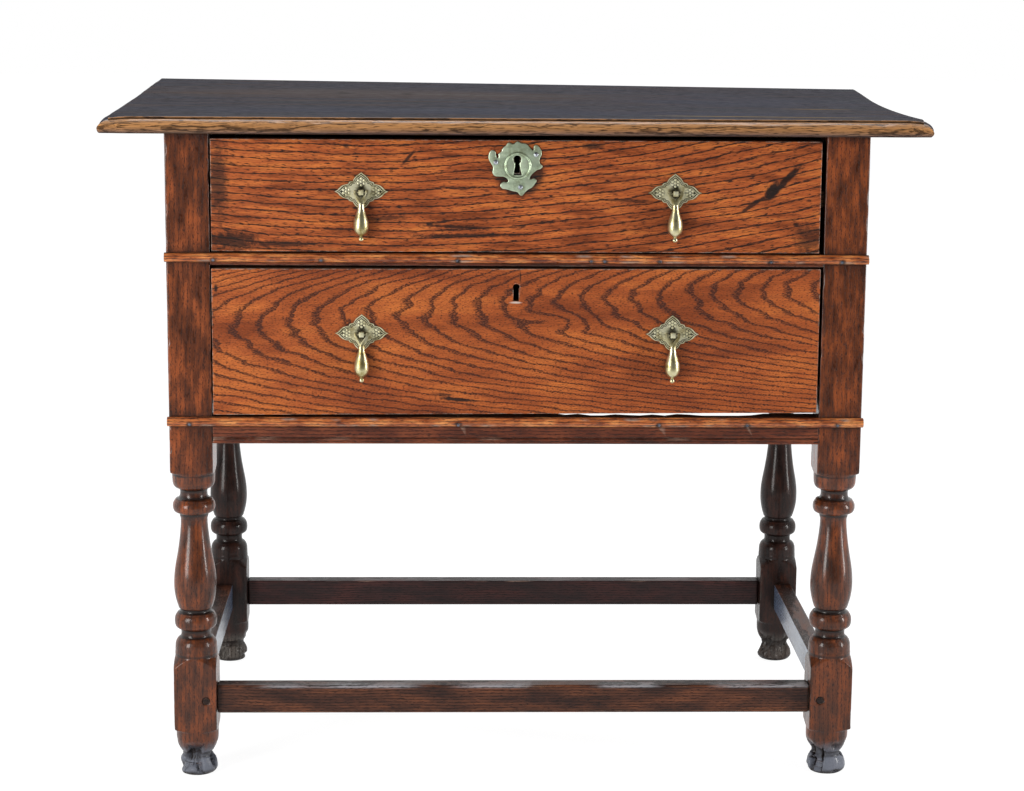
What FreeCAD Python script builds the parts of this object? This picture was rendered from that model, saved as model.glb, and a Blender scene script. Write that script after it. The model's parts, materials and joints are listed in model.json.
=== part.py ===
import FreeCAD, Part
import Sketcher
import math
import os
import sys

# Joined oak lowboy: a two-drawer side table on turned legs.
# +X runs along the front to the right, +Y to the back, +Z up. The origin is on the floor,
# under the middle of the top. Lengths are in millimetres.

SIZES = [
    # top
    ("side_overhang", 71.5, "top beyond the stiles, at the ends"),
    ("front_overhang", 31, "top nose in front of the stiles"),
    ("back_overhang", 24, "top behind the stiles"),
    ("top_thickness", 18, "plank thickness"),
    ("top_wind", 9, "how far the back left corner stands up"),
    ("front_plank_depth", 112, "front plank, nose to joint"),
    ("nose_width", 12, "plan width of the moulded edge"),
    ("nose_step", 2.4, "square step above the rounded nose"),
    ("nose_low", 6, "height of the foremost line of the nose"),
    ("nose_back", 3, "how far the nose turns in underneath"),
    ("top_peg_side", 7, "square pegs through the top"),
    ("top_peg_depth", 25, "how far the pegs through the top enter the frame"),
    ("top_peg_shift", 6, "pegs through the top inward of the leg's centre"),
    ("top_peg_sink", 0.1, "peg ends below the upper surface of the top"),
    # frame
    ("case_width", 784, "over the stiles"),
    ("case_depth", 505, "over the stiles"),
    ("leg_square", 49, "side of the square leg"),
    # turned foot and block, upwards
    ("foot_base", 17, "radius of the foot on the floor"),
    ("foot_inset", 1.6, "widest part of the foot inside the faces of the block"),
    ("foot_height", 7.5, "height of the widest part of the foot"),
    ("neck_radius", 17.6, "necks next to the blocks and rings"),
    ("foot_neck", 22, "lower end of the neck above the foot"),
    ("foot_neck_height", 4, "that neck"),
    ("foot_collar_rise", 17, "neck to the collar under the block"),
    ("foot_collar_height", 10, "that collar"),
    ("collar_slack", 0.1, "turned collars inside the faces of the block"),
    ("block_height", 92, "square block, faces"),
    ("shoulder_drop", 8, "how far the shoulders drop at the corners"),
    # turned baluster, upwards from the block
    ("block_collar_height", 11, "collar on the block"),
    ("block_collar_fall", 9, "collar to neck"),
    ("block_neck_height", 5, "neck"),
    ("block_cove", 5.5, "neck to ring"),
    ("ring_half", 7.7, "half the height of a ring"),
    ("ring_inset", 0.2, "crowns of the rings inside the faces of the block"),
    ("lower_ring_swell", 2.6, "lower ring, edge to crown"),
    ("upper_ring_swell", 4, "upper ring, edge to crown"),
    ("lower_ring_fall", 3.1, "ring to the foot of the baluster"),
    ("belly_rise", 32, "foot of the baluster to its belly"),
    ("hip_rise", 25, "belly to where the baluster turns hollow"),
    ("hip_inset", 2.5, "that place inside the faces of the block"),
    ("waist_rise", 47, "from there to the waist"),
    ("waist_hollow", 0.85, "depth of the long hollow between them"),
    ("waist_height", 4, "waist"),
    ("waist_radius", 15.3, "waist, and the neck under the stile"),
    ("upper_cove", 8.3, "waist to ring"),
    ("upper_ring_fall", 6.8, "ring to the neck under the stile"),
    ("stile_neck_height", 3.4, "neck under the stile"),
    ("stile_cove", 10.1, "neck to collar"),
    ("stile_cove_hollow", 1.8, "depth of that cove"),
    ("stile_collar_height", 8, "collar under the stile"),
    # joints
    ("tenon_offset", 12, "outer face of the leg to the tenon"),
    ("tenon_thickness", 8, "tenons, and the panels in their grooves"),
    ("tenon_gap", 4, "end of one tenon to the cheek of the next"),
    ("tenon_shoulder", 6, "rail edge to tenon edge"),
    ("thin_shoulder", 1, "the same on the thin rail between the drawers"),
    ("mortise_spare", 1, "empty depth behind a tenon or panel edge"),
    ("peg_radius", 4, "oak pegs through the tenons"),
    ("peg_setback", 12, "inner face of the leg to the peg"),
    ("peg_stop", 11, "wood left in a leg beyond its pegs"),
    ("panel_grip", 7, "how far a panel enters its grooves"),
    # rails
    ("rail_setback", 2, "outer face of the leg to a rail"),
    ("rail_thickness", 24, "side and back rails"),
    ("stile_drop", 33, "stiles below the bottom rails"),
    ("side_bottom_rail", 55, "height of the side and back bottom rails"),
    ("side_top_rail", 66, "height of the side and back top rails"),
    ("front_rail_height", 25, "front bottom rail"),
    ("front_rail_thickness", 24, "front bottom rail"),
    ("bead_height", 5.6, "bead scratched along the front rail"),
    ("bead_quirk", 1.8, "groove above that bead"),
    ("divider_height", 14, "rail between the drawers"),
    ("divider_depth", 60, "rail between the drawers"),
    # applied mouldings
    ("moulding_projection", 7, "half-round beads, forward of the stiles"),
    ("moulding_overrun", 1.5, "bead ends beyond the stiles"),
    ("upper_moulding_height", 10.5, "upper bead"),
    ("lower_moulding_lap", 5, "lower bead over the front bottom rail"),
    ("lower_moulding_height", 11, "lower bead"),
    ("moulding_flat", 1.2, "square edge at the back of a bead"),
    ("moulding_nail_rise", 3, "nails above the lower edge of a bead"),
    ("nail_sink", 0.2, "nail heads below the crown of a bead"),
    ("nail_radius", 1.5, "iron nails"),
    ("nail_length", 26, "iron nails"),
    ("long_nail_length", 34, "nails into the drawer backs"),
    # stretchers
    ("stretcher_rise", 22, "stretchers above the lower end of the block"),
    ("stretcher_height", 33, "stretchers"),
    ("stretcher_setback", 8, "outer face of the block to a stretcher"),
    ("stretcher_thickness", 22, "stretchers"),
    # drawers
    ("upper_gap_left", 1.8, "upper drawer front to the left leg"),
    ("upper_gap_right", 5.2, "upper drawer front to the right leg"),
    ("upper_gap_below", 1.7, "upper drawer front above its rail"),
    ("upper_drawer_height", 124.8, "front"),
    ("upper_gap_above", 7.5, "upper drawer front to the top"),
    ("lower_gap_left", 1.2, "lower drawer front to the left leg"),
    ("lower_gap_right", 2.8, "lower drawer front to the right leg"),
    ("lower_gap_below", 2, "lower drawer front above the lower bead, at the left"),
    ("lower_drawer_height", 166, "front, at the left"),
    ("lower_drawer_rise", 3.6, "lower edge of the front, right end above left"),
    ("lower_drawer_lean", 1.6, "upper edge of the front, right end above left"),
    ("lower_gap_above", 2.4, "lower drawer front to the rail over it, at the right"),
    ("drawer_back_gap", 9, "drawers to the back rails"),
    ("front_thickness", 25, "drawer front"),
    ("side_thickness", 20, "drawer side"),
    ("side_top_gap", 5, "drawer side below the top edge of the front"),
    ("lap_depth", 12, "how far the sides are let into the front"),
    ("bottom_thickness", 9, "drawer bottom"),
    ("bottom_raise", 3, "drawer bottom above the lower edge of the front"),
    ("bottom_lap", 10, "how far the bottom is let into the front"),
    ("back_thickness", 14, "drawer back"),
    ("back_drop", 6, "drawer back below the sides"),
    ("nail_inset", 14, "nails from the edges of the drawer sides"),
    # runners
    ("upper_runner_rise", 50.3, "upper drawer's lower edge to its runners"),
    ("lower_runner_rise", 78, "lower drawer's lower edge to its runners"),
    ("runner_height", 18, "runners"),
    ("runner_housing", 9, "how deep a runner is let into the legs"),
    ("runner_projection", 12, "runner inside the inner faces of the legs"),
    ("stop_gap", 0.3, "runner end, the drawer's stop, to the drawer front"),
    ("runner_back_gap", 1, "back end of a runner to the back rail"),
    ("groove_depth", 11, "groove in the drawer side"),
    ("seat_gap", 0.2, "drawer groove above its runner at rest"),
    ("groove_play", 1, "groove below the runner"),
    # locks
    ("lock_width", 70, "lock case"),
    ("lock_height", 46, "lock case"),
    ("lock_depth", 11, "lock case"),
    ("bolt_width", 24, "lock bolt"),
    ("bolt_thickness", 5, "lock bolt"),
    ("bolt_height", 15, "lock bolt"),
    ("bolt_travel", 12, "lock bolt"),
    ("bolt_play", 0.3, "around the lock bolt"),
    ("bolt_sink", 0.5, "lock bolt below the top of its case"),
    ("mortise_roof", 3, "wood left over the bolt mortise in the thin rail"),
    ("lock_drop", 0.6, "lock below the top edge of the front"),
    ("keyhole_x", -1.6, "keyholes from the middle"),
    ("keyhole_drop", 20.5, "keyhole head below the top edge of the front"),
    ("keyhole_radius", 3.6, "round head of the keyhole"),
    ("keyhole_slot", 6, "width of the keyhole slot"),
    ("keyhole_length", 16, "keyhole head centre to the end of the slot"),
    # handles
    ("handle_spread", 349, "between the two handles of a drawer"),
    ("upper_handle_rise", 67.1, "upper drawer's lower edge to its pivots"),
    ("lower_handle_rise", 93.6, "lower drawer's lower edge to its pivots"),
    ("plate_width", 60, "back plate, tip to tip"),
    ("plate_up", 21.4, "back plate above the pivot line"),
    ("plate_down", 20.6, "back plate below the pivot line"),
    ("plate_thickness", 1.4, "back plate"),
    ("pivot_reach", 10, "drawer face to the pivot"),
    ("post_radius", 2.3, "handle post"),
    ("post_head", 5.4, "square head of the post"),
    ("nut_width", 10, "nut inside the drawer"),
    ("nut_thickness", 4, "nut inside the drawer"),
    ("post_tail", 2, "post beyond its nut"),
    ("pivot_radius", 1, "pivot wire"),
    ("pivot_length", 17, "pivot wire"),
    ("pivot_play", 0.05, "radial play of the drop on its wire"),
    ("ear_outside", 8, "middle to the outer face of an ear"),
    ("ear_inside", 5.2, "middle to the inner face of an ear"),
    ("ear_thickness", 4.6, "front to back of the fork"),
    ("drop_neck", 2.8, "radius of the drop's neck"),
    ("drop_radius", 7.7, "widest radius of the pear"),
    ("ear_drop", 1.8, "pivot down to where the fork starts to narrow"),
    ("fork_gap", 7.5, "pivot to the lower corner of the gap in the fork"),
    ("fork_end", 13, "pivot to the lower end of the fork"),
    ("drop_throat", 17, "pivot to the lower end of the neck"),
    ("drop_shoulder", 30, "pivot to the shoulder of the pear"),
    ("drop_belly", 38, "pivot to the widest part of the pear"),
    ("drop_end", 48, "pivot to the lower end of the pear"),
    ("finial_end", 54.4, "pivot to the lower end of the ball"),
    ("finial_radius", 2.5, "ball under the pear"),
    # escutcheon
    ("escutcheon_thickness", 1.8, "cast plate"),
    ("escutcheon_ring", 15.2, "outer radius of the raised ring"),
    ("escutcheon_ring_height", 3, "raised ring above the drawer face"),
    ("escutcheon_ring_inner", 12.6, "inner radius of the raised ring"),
    ("escutcheon_centre_drop", 28.2, "ring centre below the top edge of the front"),
    ("escutcheon_shift", 0.7, "ring centre to the right of the keyhole"),
    ("pin_head_radius", 3.1, "escutcheon pins"),
    ("pin_head_height", 2, "escutcheon pins"),
    ("pin_shank_radius", 1.1, "escutcheon pins"),
    ("pin_shank_length", 10, "escutcheon pins"),
]

doc = FreeCAD.newDocument("lowboy")
sheet = doc.addObject("Spreadsheet::Sheet", "sizes")


class Size:
    """A length that carries its spreadsheet formula along with its value."""

    def __init__(self, value, text=None):
        self.value = float(value)
        self.text = text or repr(float(value))

    def combined(self, sign, other, value, swap=False):
        first, second = (other, self) if swap else (self, other)
        return Size(value, "(" + first.text + " " + sign + " " + second.text + ")")

    def __add__(self, other):
        other = size(other)
        return self.combined("+", other, self.value + other.value)

    def __sub__(self, other):
        other = size(other)
        return self.combined("-", other, self.value - other.value)

    def __mul__(self, other):
        other = size(other)
        return self.combined("*", other, self.value * other.value)

    def __truediv__(self, other):
        other = size(other)
        return self.combined("/", other, self.value / other.value)

    def __rsub__(self, other):
        other = size(other)
        return self.combined("-", other, other.value - self.value, swap=True)

    def __neg__(self):
        return self * -1

    __radd__ = __add__
    __rmul__ = __mul__


def size(value):
    return value if isinstance(value, Size) else Size(value)


class Sheet:
    """The driving sizes as attributes, each bound to its spreadsheet cell."""

    def __init__(self, rows):
        for number, (name, value, note) in enumerate(rows, start=1):
            sheet.set("A" + str(number), name)
            sheet.set("B" + str(number), str(value))
            sheet.setAlias("B" + str(number), name)
            sheet.set("C" + str(number), note)
            setattr(self, name, Size(value, "sizes." + name))


s = Sheet(SIZES)
doc.recompute()

# Places that several pieces share.
top_width = s.case_width + s.side_overhang * 2
top_depth = s.case_depth + s.front_overhang + s.back_overhang
top_front = -top_depth / 2
case_front = top_front + s.front_overhang
case_back = case_front + s.case_depth
case_half = s.case_width / 2
inner_x = case_half - s.leg_square
inner_front = case_front + s.leg_square
inner_back = case_back - s.leg_square
leg_radius = s.leg_square / 2
tenon_length = s.leg_square - s.tenon_offset - s.tenon_thickness - s.tenon_gap
peg_length = s.leg_square - s.peg_stop

# Behind this line the top is wound; the moulded strip in front of it is flat.
flat_end = top_front + s.nose_width

# Heights, from the floor up.
foot_collar = s.foot_neck + s.foot_neck_height + s.foot_collar_rise
block_bottom = foot_collar + s.foot_collar_height
block_top = block_bottom + s.block_height
lower_ring = (block_top + s.block_collar_height + s.block_collar_fall + s.block_neck_height
              + s.block_cove + s.ring_half)
belly = lower_ring + s.ring_half + s.lower_ring_fall + s.belly_rise
waist = belly + s.hip_rise + s.waist_rise
upper_ring = waist + s.waist_height + s.upper_cove + s.ring_half
stile_neck = upper_ring + s.ring_half + s.upper_ring_fall
stile_collar = stile_neck + s.stile_neck_height + s.stile_cove
stile_corner = stile_collar + s.stile_collar_height
stile_bottom = stile_corner + s.shoulder_drop
rail_bottom = stile_bottom + s.stile_drop
front_rail_top = rail_bottom + s.front_rail_height
lower_bead = front_rail_top - s.lower_moulding_lap
lower_bottom = lower_bead + s.lower_moulding_height + s.lower_gap_below
divider_bottom = (lower_bottom + s.lower_drawer_height + s.lower_drawer_lean
                  + s.lower_gap_above)
divider_top = divider_bottom + s.divider_height
upper_bead = divider_top - s.upper_moulding_height
upper_bottom = divider_top + s.upper_gap_below
leg_length = upper_bottom + s.upper_drawer_height + s.upper_gap_above
SIDES = {"left": -1, "right": 1}
AXES = {"x": ((0, 1, 0), 90), "y": ((1, 0, 0), -90), "z": ((0, 0, 1), 0)}
parts = []


def bind(item, path, value):
    item.setExpression(path, size(value).text)


def part(item, label):
    item.Label = label
    parts.append(item)
    return item


def block(name, x, y, z):
    """A box between two places on each axis."""
    item = doc.addObject("Part::Box", name)
    for (low, high), length, axis in zip((x, y, z), ("Length", "Width", "Height"), "xyz"):
        bind(item, length, size(high) - low)
        bind(item, "Placement.Base." + axis, low)
    return item


def rod(name, radius, start, axis, length):
    """A cylinder from a start point along +X, +Y or +Z."""
    item = doc.addObject("Part::Cylinder", name)
    about, angle = AXES[axis]
    turn = FreeCAD.Rotation(FreeCAD.Vector(*about), angle)
    item.Placement = FreeCAD.Placement(FreeCAD.Vector(), turn)
    bind(item, "Radius", radius)
    bind(item, "Height", length)
    for direction, place in zip("xyz", start):
        bind(item, "Placement.Base." + direction, place)
    return item


def joined(name, items):
    if len(items) == 1:
        return items[0]
    item = doc.addObject("Part::MultiFuse", name)
    item.Shapes = items
    item.Refine = True
    return item


def cut(name, base, tools):
    item = doc.addObject("Part::Cut", name)
    item.Base = base
    item.Tool = joined(name + "_cuts", tools)
    item.Refine = True
    return item


def group(name, items):
    item = doc.addObject("Part::Compound", name)
    item.Links = items
    return part(item, name)


def new_body(name, x=0, y=0, z=0):
    item = doc.addObject("PartDesign::Body", name)
    for axis, place in zip("xyz", (x, y, z)):
        bind(item, "Placement.Base." + axis, place)
    return item


def new_sketch(body, role, offset=0):
    """A sketch on one of the body's own planes, moved along that plane's normal."""
    plane = next(item for item in body.Origin.OriginFeatures if item.Role == role)
    item = body.newObject("Sketcher::SketchObject", body.Name + "_sketch")
    item.AttachmentSupport = [(plane, "")]
    item.MapMode = "FlatFace"
    bind(item, "AttachmentOffset.Base.z", offset)
    return item


def constrain(sketch, kind, *where, value):
    number = sketch.addConstraint(Sketcher.Constraint(kind, *where, size(value).value))
    bind(sketch, "Constraints[" + str(number) + "]", value)


def arc_between(start, end, radius):
    """The short arc from start to end; a positive radius bulges to the right of the way."""
    chord = end - start
    middle = (start + end) / 2
    across = FreeCAD.Vector(-chord.y, chord.x, 0).normalize()
    reach = math.sqrt(max(radius ** 2 - (chord.Length / 2) ** 2, 0))
    centre = middle + across * reach * (1 if radius > 0 else -1)
    angles = [math.atan2(p.y - centre.y, p.x - centre.x) for p in (start, end)]
    circle = Part.Circle(centre, FreeCAD.Vector(0, 0, 1), abs(radius))
    if radius < 0:
        angles.reverse()
    return Part.ArcOfCircle(circle, angles[0], angles[1])


def outline(sketch, corners):
    """A closed outline. A third value bends the edge that leaves its corner to that radius."""
    points = [FreeCAD.Vector(size(c[0]).value, size(c[1]).value, 0) for c in corners]
    first = sketch.GeometryCount
    count = len(corners)
    ends = []
    for number, corner in enumerate(corners):
        start, end = points[number], points[(number + 1) % count]
        radius = size(corner[2]).value if len(corner) > 2 else 0
        if radius:
            sketch.addGeometry(arc_between(start, end, radius), False)
        else:
            sketch.addGeometry(Part.LineSegment(start, end), False)
        ends.append((2, 1) if radius < 0 else (1, 2))
    for number, corner in enumerate(corners):
        following = (number + 1) % count
        here = first + number
        sketch.addConstraint(Sketcher.Constraint(
            "Coincident", here, ends[number][1], first + following, ends[following][0]))
        constrain(sketch, "DistanceX", -1, 1, here, ends[number][0], value=corner[0])
        constrain(sketch, "DistanceY", -1, 1, here, ends[number][0], value=corner[1])
        if len(corner) > 2:
            bend = size(corner[2])
            constrain(sketch, "Radius", here, value=bend if bend.value > 0 else -bend)


def swell(upright, other):
    """Radius of the arc that is upright at one end and runs to the other, hollow if it narrows."""
    across = size(upright[0]) - other[0]
    up = size(upright[1]) - other[1]
    return (across * across + up * up) / (across * 2)


def bowed(start, end, sag):
    """Radius of the arc between two corners that stands off their chord; less than 0 is hollow."""
    across = size(end[0]) - start[0]
    up = size(end[1]) - start[1]
    return (across * across + up * up) / (sag * 8) + sag / 2


def crown(half, height):
    """Radius of the arc with a given half chord and a given height over it."""
    return (half * half + height * height) / (height * 2)


def circle(sketch, x, y, radius):
    shape = Part.Circle(FreeCAD.Vector(size(x).value, size(y).value, 0),
                        FreeCAD.Vector(0, 0, 1), size(radius).value)
    number = sketch.addGeometry(shape, False)
    constrain(sketch, "DistanceX", -1, 1, number, 3, value=x)
    constrain(sketch, "DistanceY", -1, 1, number, 3, value=y)
    constrain(sketch, "Radius", number, value=radius)


def rectangle(sketch, x, y):
    outline(sketch, [(x[0], y[0]), (x[1], y[0]), (x[1], y[1]), (x[0], y[1])])


def pad(body, sketch, length, backwards=False, both_ways=False):
    item = body.newObject("PartDesign::Pad", body.Name + "_pad")
    item.Profile = sketch
    item.Reversed = backwards
    item.SideType = "Symmetric" if both_ways else "One side"
    bind(item, "Length", length)
    return item


def pocket(body, sketch, length, backwards=False, both_ways=False):
    item = body.newObject("PartDesign::Pocket", body.Name + "_pocket")
    item.Profile = sketch
    item.Reversed = backwards
    item.SideType = "Symmetric" if both_ways else "One side"
    bind(item, "Length", length)
    return item


def turned(body, sketch, kind="Revolution"):
    """Turn a profile about the sketch's own vertical axis."""
    item = body.newObject("PartDesign::" + kind, body.Name + "_" + kind.lower())
    item.Profile = sketch
    item.ReferenceAxis = (sketch, ["V_Axis"])
    item.Angle = 360
    return item


# ---- top ----

def end_section(body, y, rise):
    """The whole width of the top in the XZ plane, moulded at both ends, the left end raised."""
    sketch = new_sketch(body, "XZ_Plane", -y)
    half = top_width / 2
    shelf = s.top_thickness - s.nose_step
    outline(sketch, [
        (s.nose_back - half, rise, -s.nose_low), (-half, rise + s.nose_low, -s.nose_width),
        (s.nose_width - half, rise + shelf), (s.nose_width - half, rise + s.top_thickness),
        (half - s.nose_width, s.top_thickness), (half - s.nose_width, shelf, -s.nose_width),
        (half, s.nose_low, -s.nose_low), (half - s.nose_back, 0),
    ])
    return sketch


def rise_at(y):
    """How far the left end of the top stands up at a place from front to back."""
    return s.top_wind * (y - flat_end) / (top_depth - s.nose_width)


def wound_board(name, front, back):
    """A board lofted between two end sections; its left end rises towards the back."""
    body = new_body(name, z=leg_length)
    loft = body.newObject("PartDesign::AdditiveLoft", name + "_loft")
    sections = [end_section(body, y, rise_at(y)) for y in (front, back)]
    loft.Profile = sections[0]
    loft.Sections = sections[1:]
    loft.Ruled = True
    return body


def build_top():
    joint = top_front + s.front_plank_depth
    strip = new_body("nose_strip", z=leg_length)
    pad(strip, end_section(strip, flat_end, size(0)), s.nose_width)
    waste = new_body("front_waste", y=top_front, z=leg_length)
    sketch = new_sketch(waste, "YZ_Plane")
    spare = s.top_thickness
    outline(sketch, [
        (s.nose_back, 0, -s.nose_low), (0, s.nose_low, -s.nose_width),
        (s.nose_width, spare - s.nose_step), (s.nose_width, spare * 2), (-spare, spare * 2),
        (-spare, -spare), (s.nose_back, -spare),
    ])
    pad(waste, sketch, top_width * 2, both_ways=True)
    pegs, holes = top_pegs()
    bolt_top = (upper_bottom + s.upper_drawer_height - s.lock_drop - s.bolt_sink
                + s.bolt_travel)
    mortise = block("upper_bolt_mortise", bolt_span(), bolt_depth(),
                    (leg_length, bolt_top + s.bolt_play))
    front = joined("front_blank", [strip, wound_board("front_board", flat_end, joint)])
    part(cut("front_plank_cut", front, [waste, mortise] + holes[:2]), "top_plank_front")
    back = wound_board("back_board", joint, -top_front)
    part(cut("back_plank_cut", back, holes[2:]), "top_plank_back")
    group("top_pegs", pegs)
    return pegs


def top_pegs():
    """Square pegs through the top into the legs and side rails, and the holes they fill."""
    pegs, holes = [], []
    inset = leg_radius + s.top_peg_shift
    x_leg = case_half - inset
    x_rail = case_half - s.rail_setback - s.rail_thickness / 2
    for y, across in ((case_front + inset, x_leg), (case_back - inset, x_leg), (size(0), x_rail)):
        for side in (-1, 1):
            x = across * side
            share = (top_width / 2 - s.nose_width - x) / (top_width - s.nose_width * 2)
            surface = s.top_thickness + rise_at(y) * share
            span = widened((x, x), s.top_peg_side / 2)
            depth = widened((y, y), s.top_peg_side / 2)
            foot = leg_length - s.top_peg_depth
            pegs.append(block("top_peg", span, depth, (foot, leg_length + surface - s.top_peg_sink)))
            holes.append(block("top_peg_hole", span, depth,
                               (foot, leg_length + surface + s.top_thickness)))
    return pegs, holes


def bolt_span():
    half = s.bolt_width / 2 + s.bolt_play
    return (s.keyhole_x - half, s.keyhole_x + half)


def bolt_depth():
    middle = case_front + s.front_thickness - s.lock_depth / 2
    half = s.bolt_thickness / 2 + s.bolt_play
    return (middle - half, middle + half)


# ---- legs ----

# Reach of the turned shoulder cuts past the corners, as a share of the leg's square.
CORNER_REACH = 0.72


def leg_body(name, x, y):
    """One leg before its mortises are cut, about its own centre line."""
    body = new_body(name, x, y)
    for bottom, top in ((block_bottom, block_top), (stile_corner, leg_length)):
        square = new_sketch(body, "XY_Plane", bottom)
        rectangle(square, (-leg_radius, leg_radius), (-leg_radius, leg_radius))
        pad(body, square, top - bottom)
    # The corners are turned away on a slope, which leaves arched shoulders on the faces.
    corner = s.leg_square * CORNER_REACH
    shoulders = new_sketch(body, "XZ_Plane")
    outline(shoulders, [(leg_radius, block_top), (corner, block_top - s.shoulder_drop),
                        (corner, block_top + 1), (leg_radius, block_top + 1)])
    outline(shoulders, [(leg_radius, block_bottom), (leg_radius, block_bottom - 1),
                        (corner, block_bottom - 1), (corner, block_bottom + s.shoulder_drop / 2)])
    outline(shoulders, [(leg_radius, stile_corner), (leg_radius, stile_corner - 1),
                        (corner, stile_corner - 1), (corner, stile_bottom)])
    turned(body, shoulders, "Groove")
    turned(body, foot_profile(body))
    turned(body, baluster_profile(body))
    return body


def foot_profile(body):
    sketch = new_sketch(body, "XZ_Plane")
    widest = (leg_radius - s.foot_inset, s.foot_height)
    neck = (s.neck_radius, s.foot_neck)
    neck_top = (s.neck_radius, s.foot_neck + s.foot_neck_height)
    collar = (leg_radius - s.collar_slack, foot_collar)
    inside = block_bottom + 1
    outline(sketch, [
        (0, 0), (s.foot_base, 0, swell(widest, (s.foot_base, 0))),
        widest + (swell(widest, neck),), neck, neck_top + (swell(collar, neck_top),), collar,
        (collar[0], inside), (0, inside),
    ])
    return sketch


def baluster_profile(body):
    """Turned profile from the block to the stile: collar, ring, baluster, ring, collar."""
    sketch = new_sketch(body, "XZ_Plane")
    collar = leg_radius - s.collar_slack
    crest = leg_radius - s.ring_inset
    lower_edge = crest - s.lower_ring_swell
    upper_edge = crest - s.upper_ring_swell
    block_collar = (collar, block_top + s.block_collar_height)
    block_neck = (s.neck_radius, block_collar[1] + s.block_collar_fall)
    cove = (s.neck_radius, block_neck[1] + s.block_neck_height)
    ring_start = (lower_edge, lower_ring - s.ring_half)
    foot = (s.neck_radius, lower_ring + s.ring_half + s.lower_ring_fall)
    widest = (collar, belly)
    hip = (leg_radius - s.hip_inset, belly + s.hip_rise)
    waist_low = (s.waist_radius, waist)
    waist_top = (s.waist_radius, waist + s.waist_height)
    upper_start = (upper_edge, upper_ring - s.ring_half)
    neck_top = (s.waist_radius, stile_neck + s.stile_neck_height)
    top_collar = (collar, stile_collar)
    inside = stile_corner + 1
    outline(sketch, [
        (0, block_top - 1), (collar, block_top - 1),
        block_collar + (swell(block_collar, block_neck),), block_neck,
        cove + (swell(cove, ring_start),),
        ring_start + (crown(s.ring_half, s.lower_ring_swell),),
        (lower_edge, lower_ring + s.ring_half), foot + (swell(widest, foot),),
        widest + (swell(widest, hip),), hip + (bowed(hip, waist_low, -s.waist_hollow),),
        waist_low, waist_top + (swell(waist_top, upper_start),),
        upper_start + (crown(s.ring_half, s.upper_ring_swell),),
        (upper_edge, upper_ring + s.ring_half), (s.waist_radius, stile_neck),
        neck_top + (bowed(neck_top, top_collar, -s.stile_cove_hollow),), top_collar,
        (collar, inside), (0, inside),
    ])
    return sketch


# ---- rails, stretchers and panels ----

class Joinery:
    """Collects the cuts that each leg gets from what is joined to it."""

    def __init__(self):
        self.cuts = {(fb, lr): [] for fb in ("front", "back") for lr in SIDES}
        self.pegs = []

    def add(self, ends, tool):
        for end in ends:
            self.cuts[end].append(tool)


joinery = Joinery()


def along_x(where, x, y, z):
    """Order a width, depth and height for a piece that lies front, back, left or right."""
    return (x, y, z) if where in ("front", "back") else (y, x, z)


def outer_band(where, offset, thickness):
    """A band that lies a given way inside the outer face of the frame on one side."""
    if where == "front":
        return (case_front + offset, case_front + offset + thickness)
    if where == "back":
        return (case_back - offset - thickness, case_back - offset)
    if where == "left":
        return (-case_half + offset, -case_half + offset + thickness)
    return (case_half - offset - thickness, case_half - offset)


def leg_gap(where):
    """Between the inner faces of the two legs that a rail joins."""
    if where in ("front", "back"):
        return (-inner_x, inner_x)
    return (inner_front, inner_back)


def leg_ends(where):
    if where in ("front", "back"):
        return [(where, "left"), (where, "right")]
    return [("front", where), ("back", where)]


def widened(span, extra):
    return (span[0] - extra, span[1] + extra)


def pegged_rail(label, where, body, tenon_z, peg_z, from_inside=False):
    """Give a rail its tenons, cut the mortises for them and drive a peg through each."""
    gap = leg_gap(where)
    band = outer_band(where, s.tenon_offset, s.tenon_thickness)
    tenon = block(label + "_tenon", *along_x(where, widened(gap, tenon_length), band, tenon_z))
    reach = tenon_length + s.mortise_spare
    mortise = block(label + "_mortise", *along_x(where, widened(gap, reach), band, tenon_z))
    joinery.add(leg_ends(where), mortise)
    sunk = s.leg_square - peg_length if from_inside else 0
    face = outer_band(where, sunk, peg_length)[0]
    axis = "y" if where in ("front", "back") else "x"
    pegs = []
    for end, place in zip(leg_ends(where), (gap[0] - s.peg_setback, gap[1] + s.peg_setback)):
        start = (place, face, peg_z) if axis == "y" else (face, place, peg_z)
        peg = rod(label + "_peg", s.peg_radius, start, axis, peg_length)
        joinery.add([end], peg)
        pegs.append(peg)
    joinery.pegs += pegs
    return joined(label + "_with_tenons", [body, tenon]), pegs


def plain_rail(label, where, setback, thickness, z, extra=()):
    gap = leg_gap(where)
    band = outer_band(where, setback, thickness)
    body = block(label + "_body", *along_x(where, gap, band, z))
    tenon_z = (z[0] + s.tenon_shoulder, z[1] - s.tenon_shoulder)
    made, pegs = pegged_rail(label, where, body, tenon_z, (z[0] + z[1]) / 2)
    return part(cut(label + "_cut", made, pegs + list(extra)), label)


def panel(label, where, low, high):
    """A thin panel held in grooves of the rails and legs around it."""
    gap = leg_gap(where)
    band = outer_band(where, s.tenon_offset, s.tenon_thickness)
    grip = s.panel_grip
    room = s.panel_grip + s.mortise_spare
    board = block(label, *along_x(where, widened(gap, grip), band, (low - grip, high + grip)))
    groove = block(label + "_groove", *along_x(where, widened(gap, room), band,
                                               (low - room, high + room)))
    joinery.add(leg_ends(where), groove)
    part(board, label)
    return groove


def build_rails(pegs):
    low = rail_bottom + s.side_bottom_rail
    high = leg_length - s.side_top_rail
    for where in ("left", "right", "back"):
        name = "back" if where == "back" else "side"
        tail = "" if where == "back" else "_" + where
        groove = panel(name + "_panel" + tail, where, low, high)
        held = [pegs[4 if where == "left" else 5]] if where != "back" else []
        plain_rail(name + "_rail_top" + tail, where, s.rail_setback, s.rail_thickness,
                   (high, leg_length), [groove] + held)
        plain_rail(name + "_rail_bottom" + tail, where, s.rail_setback, s.rail_thickness,
                   (rail_bottom, low), [groove])


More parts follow.
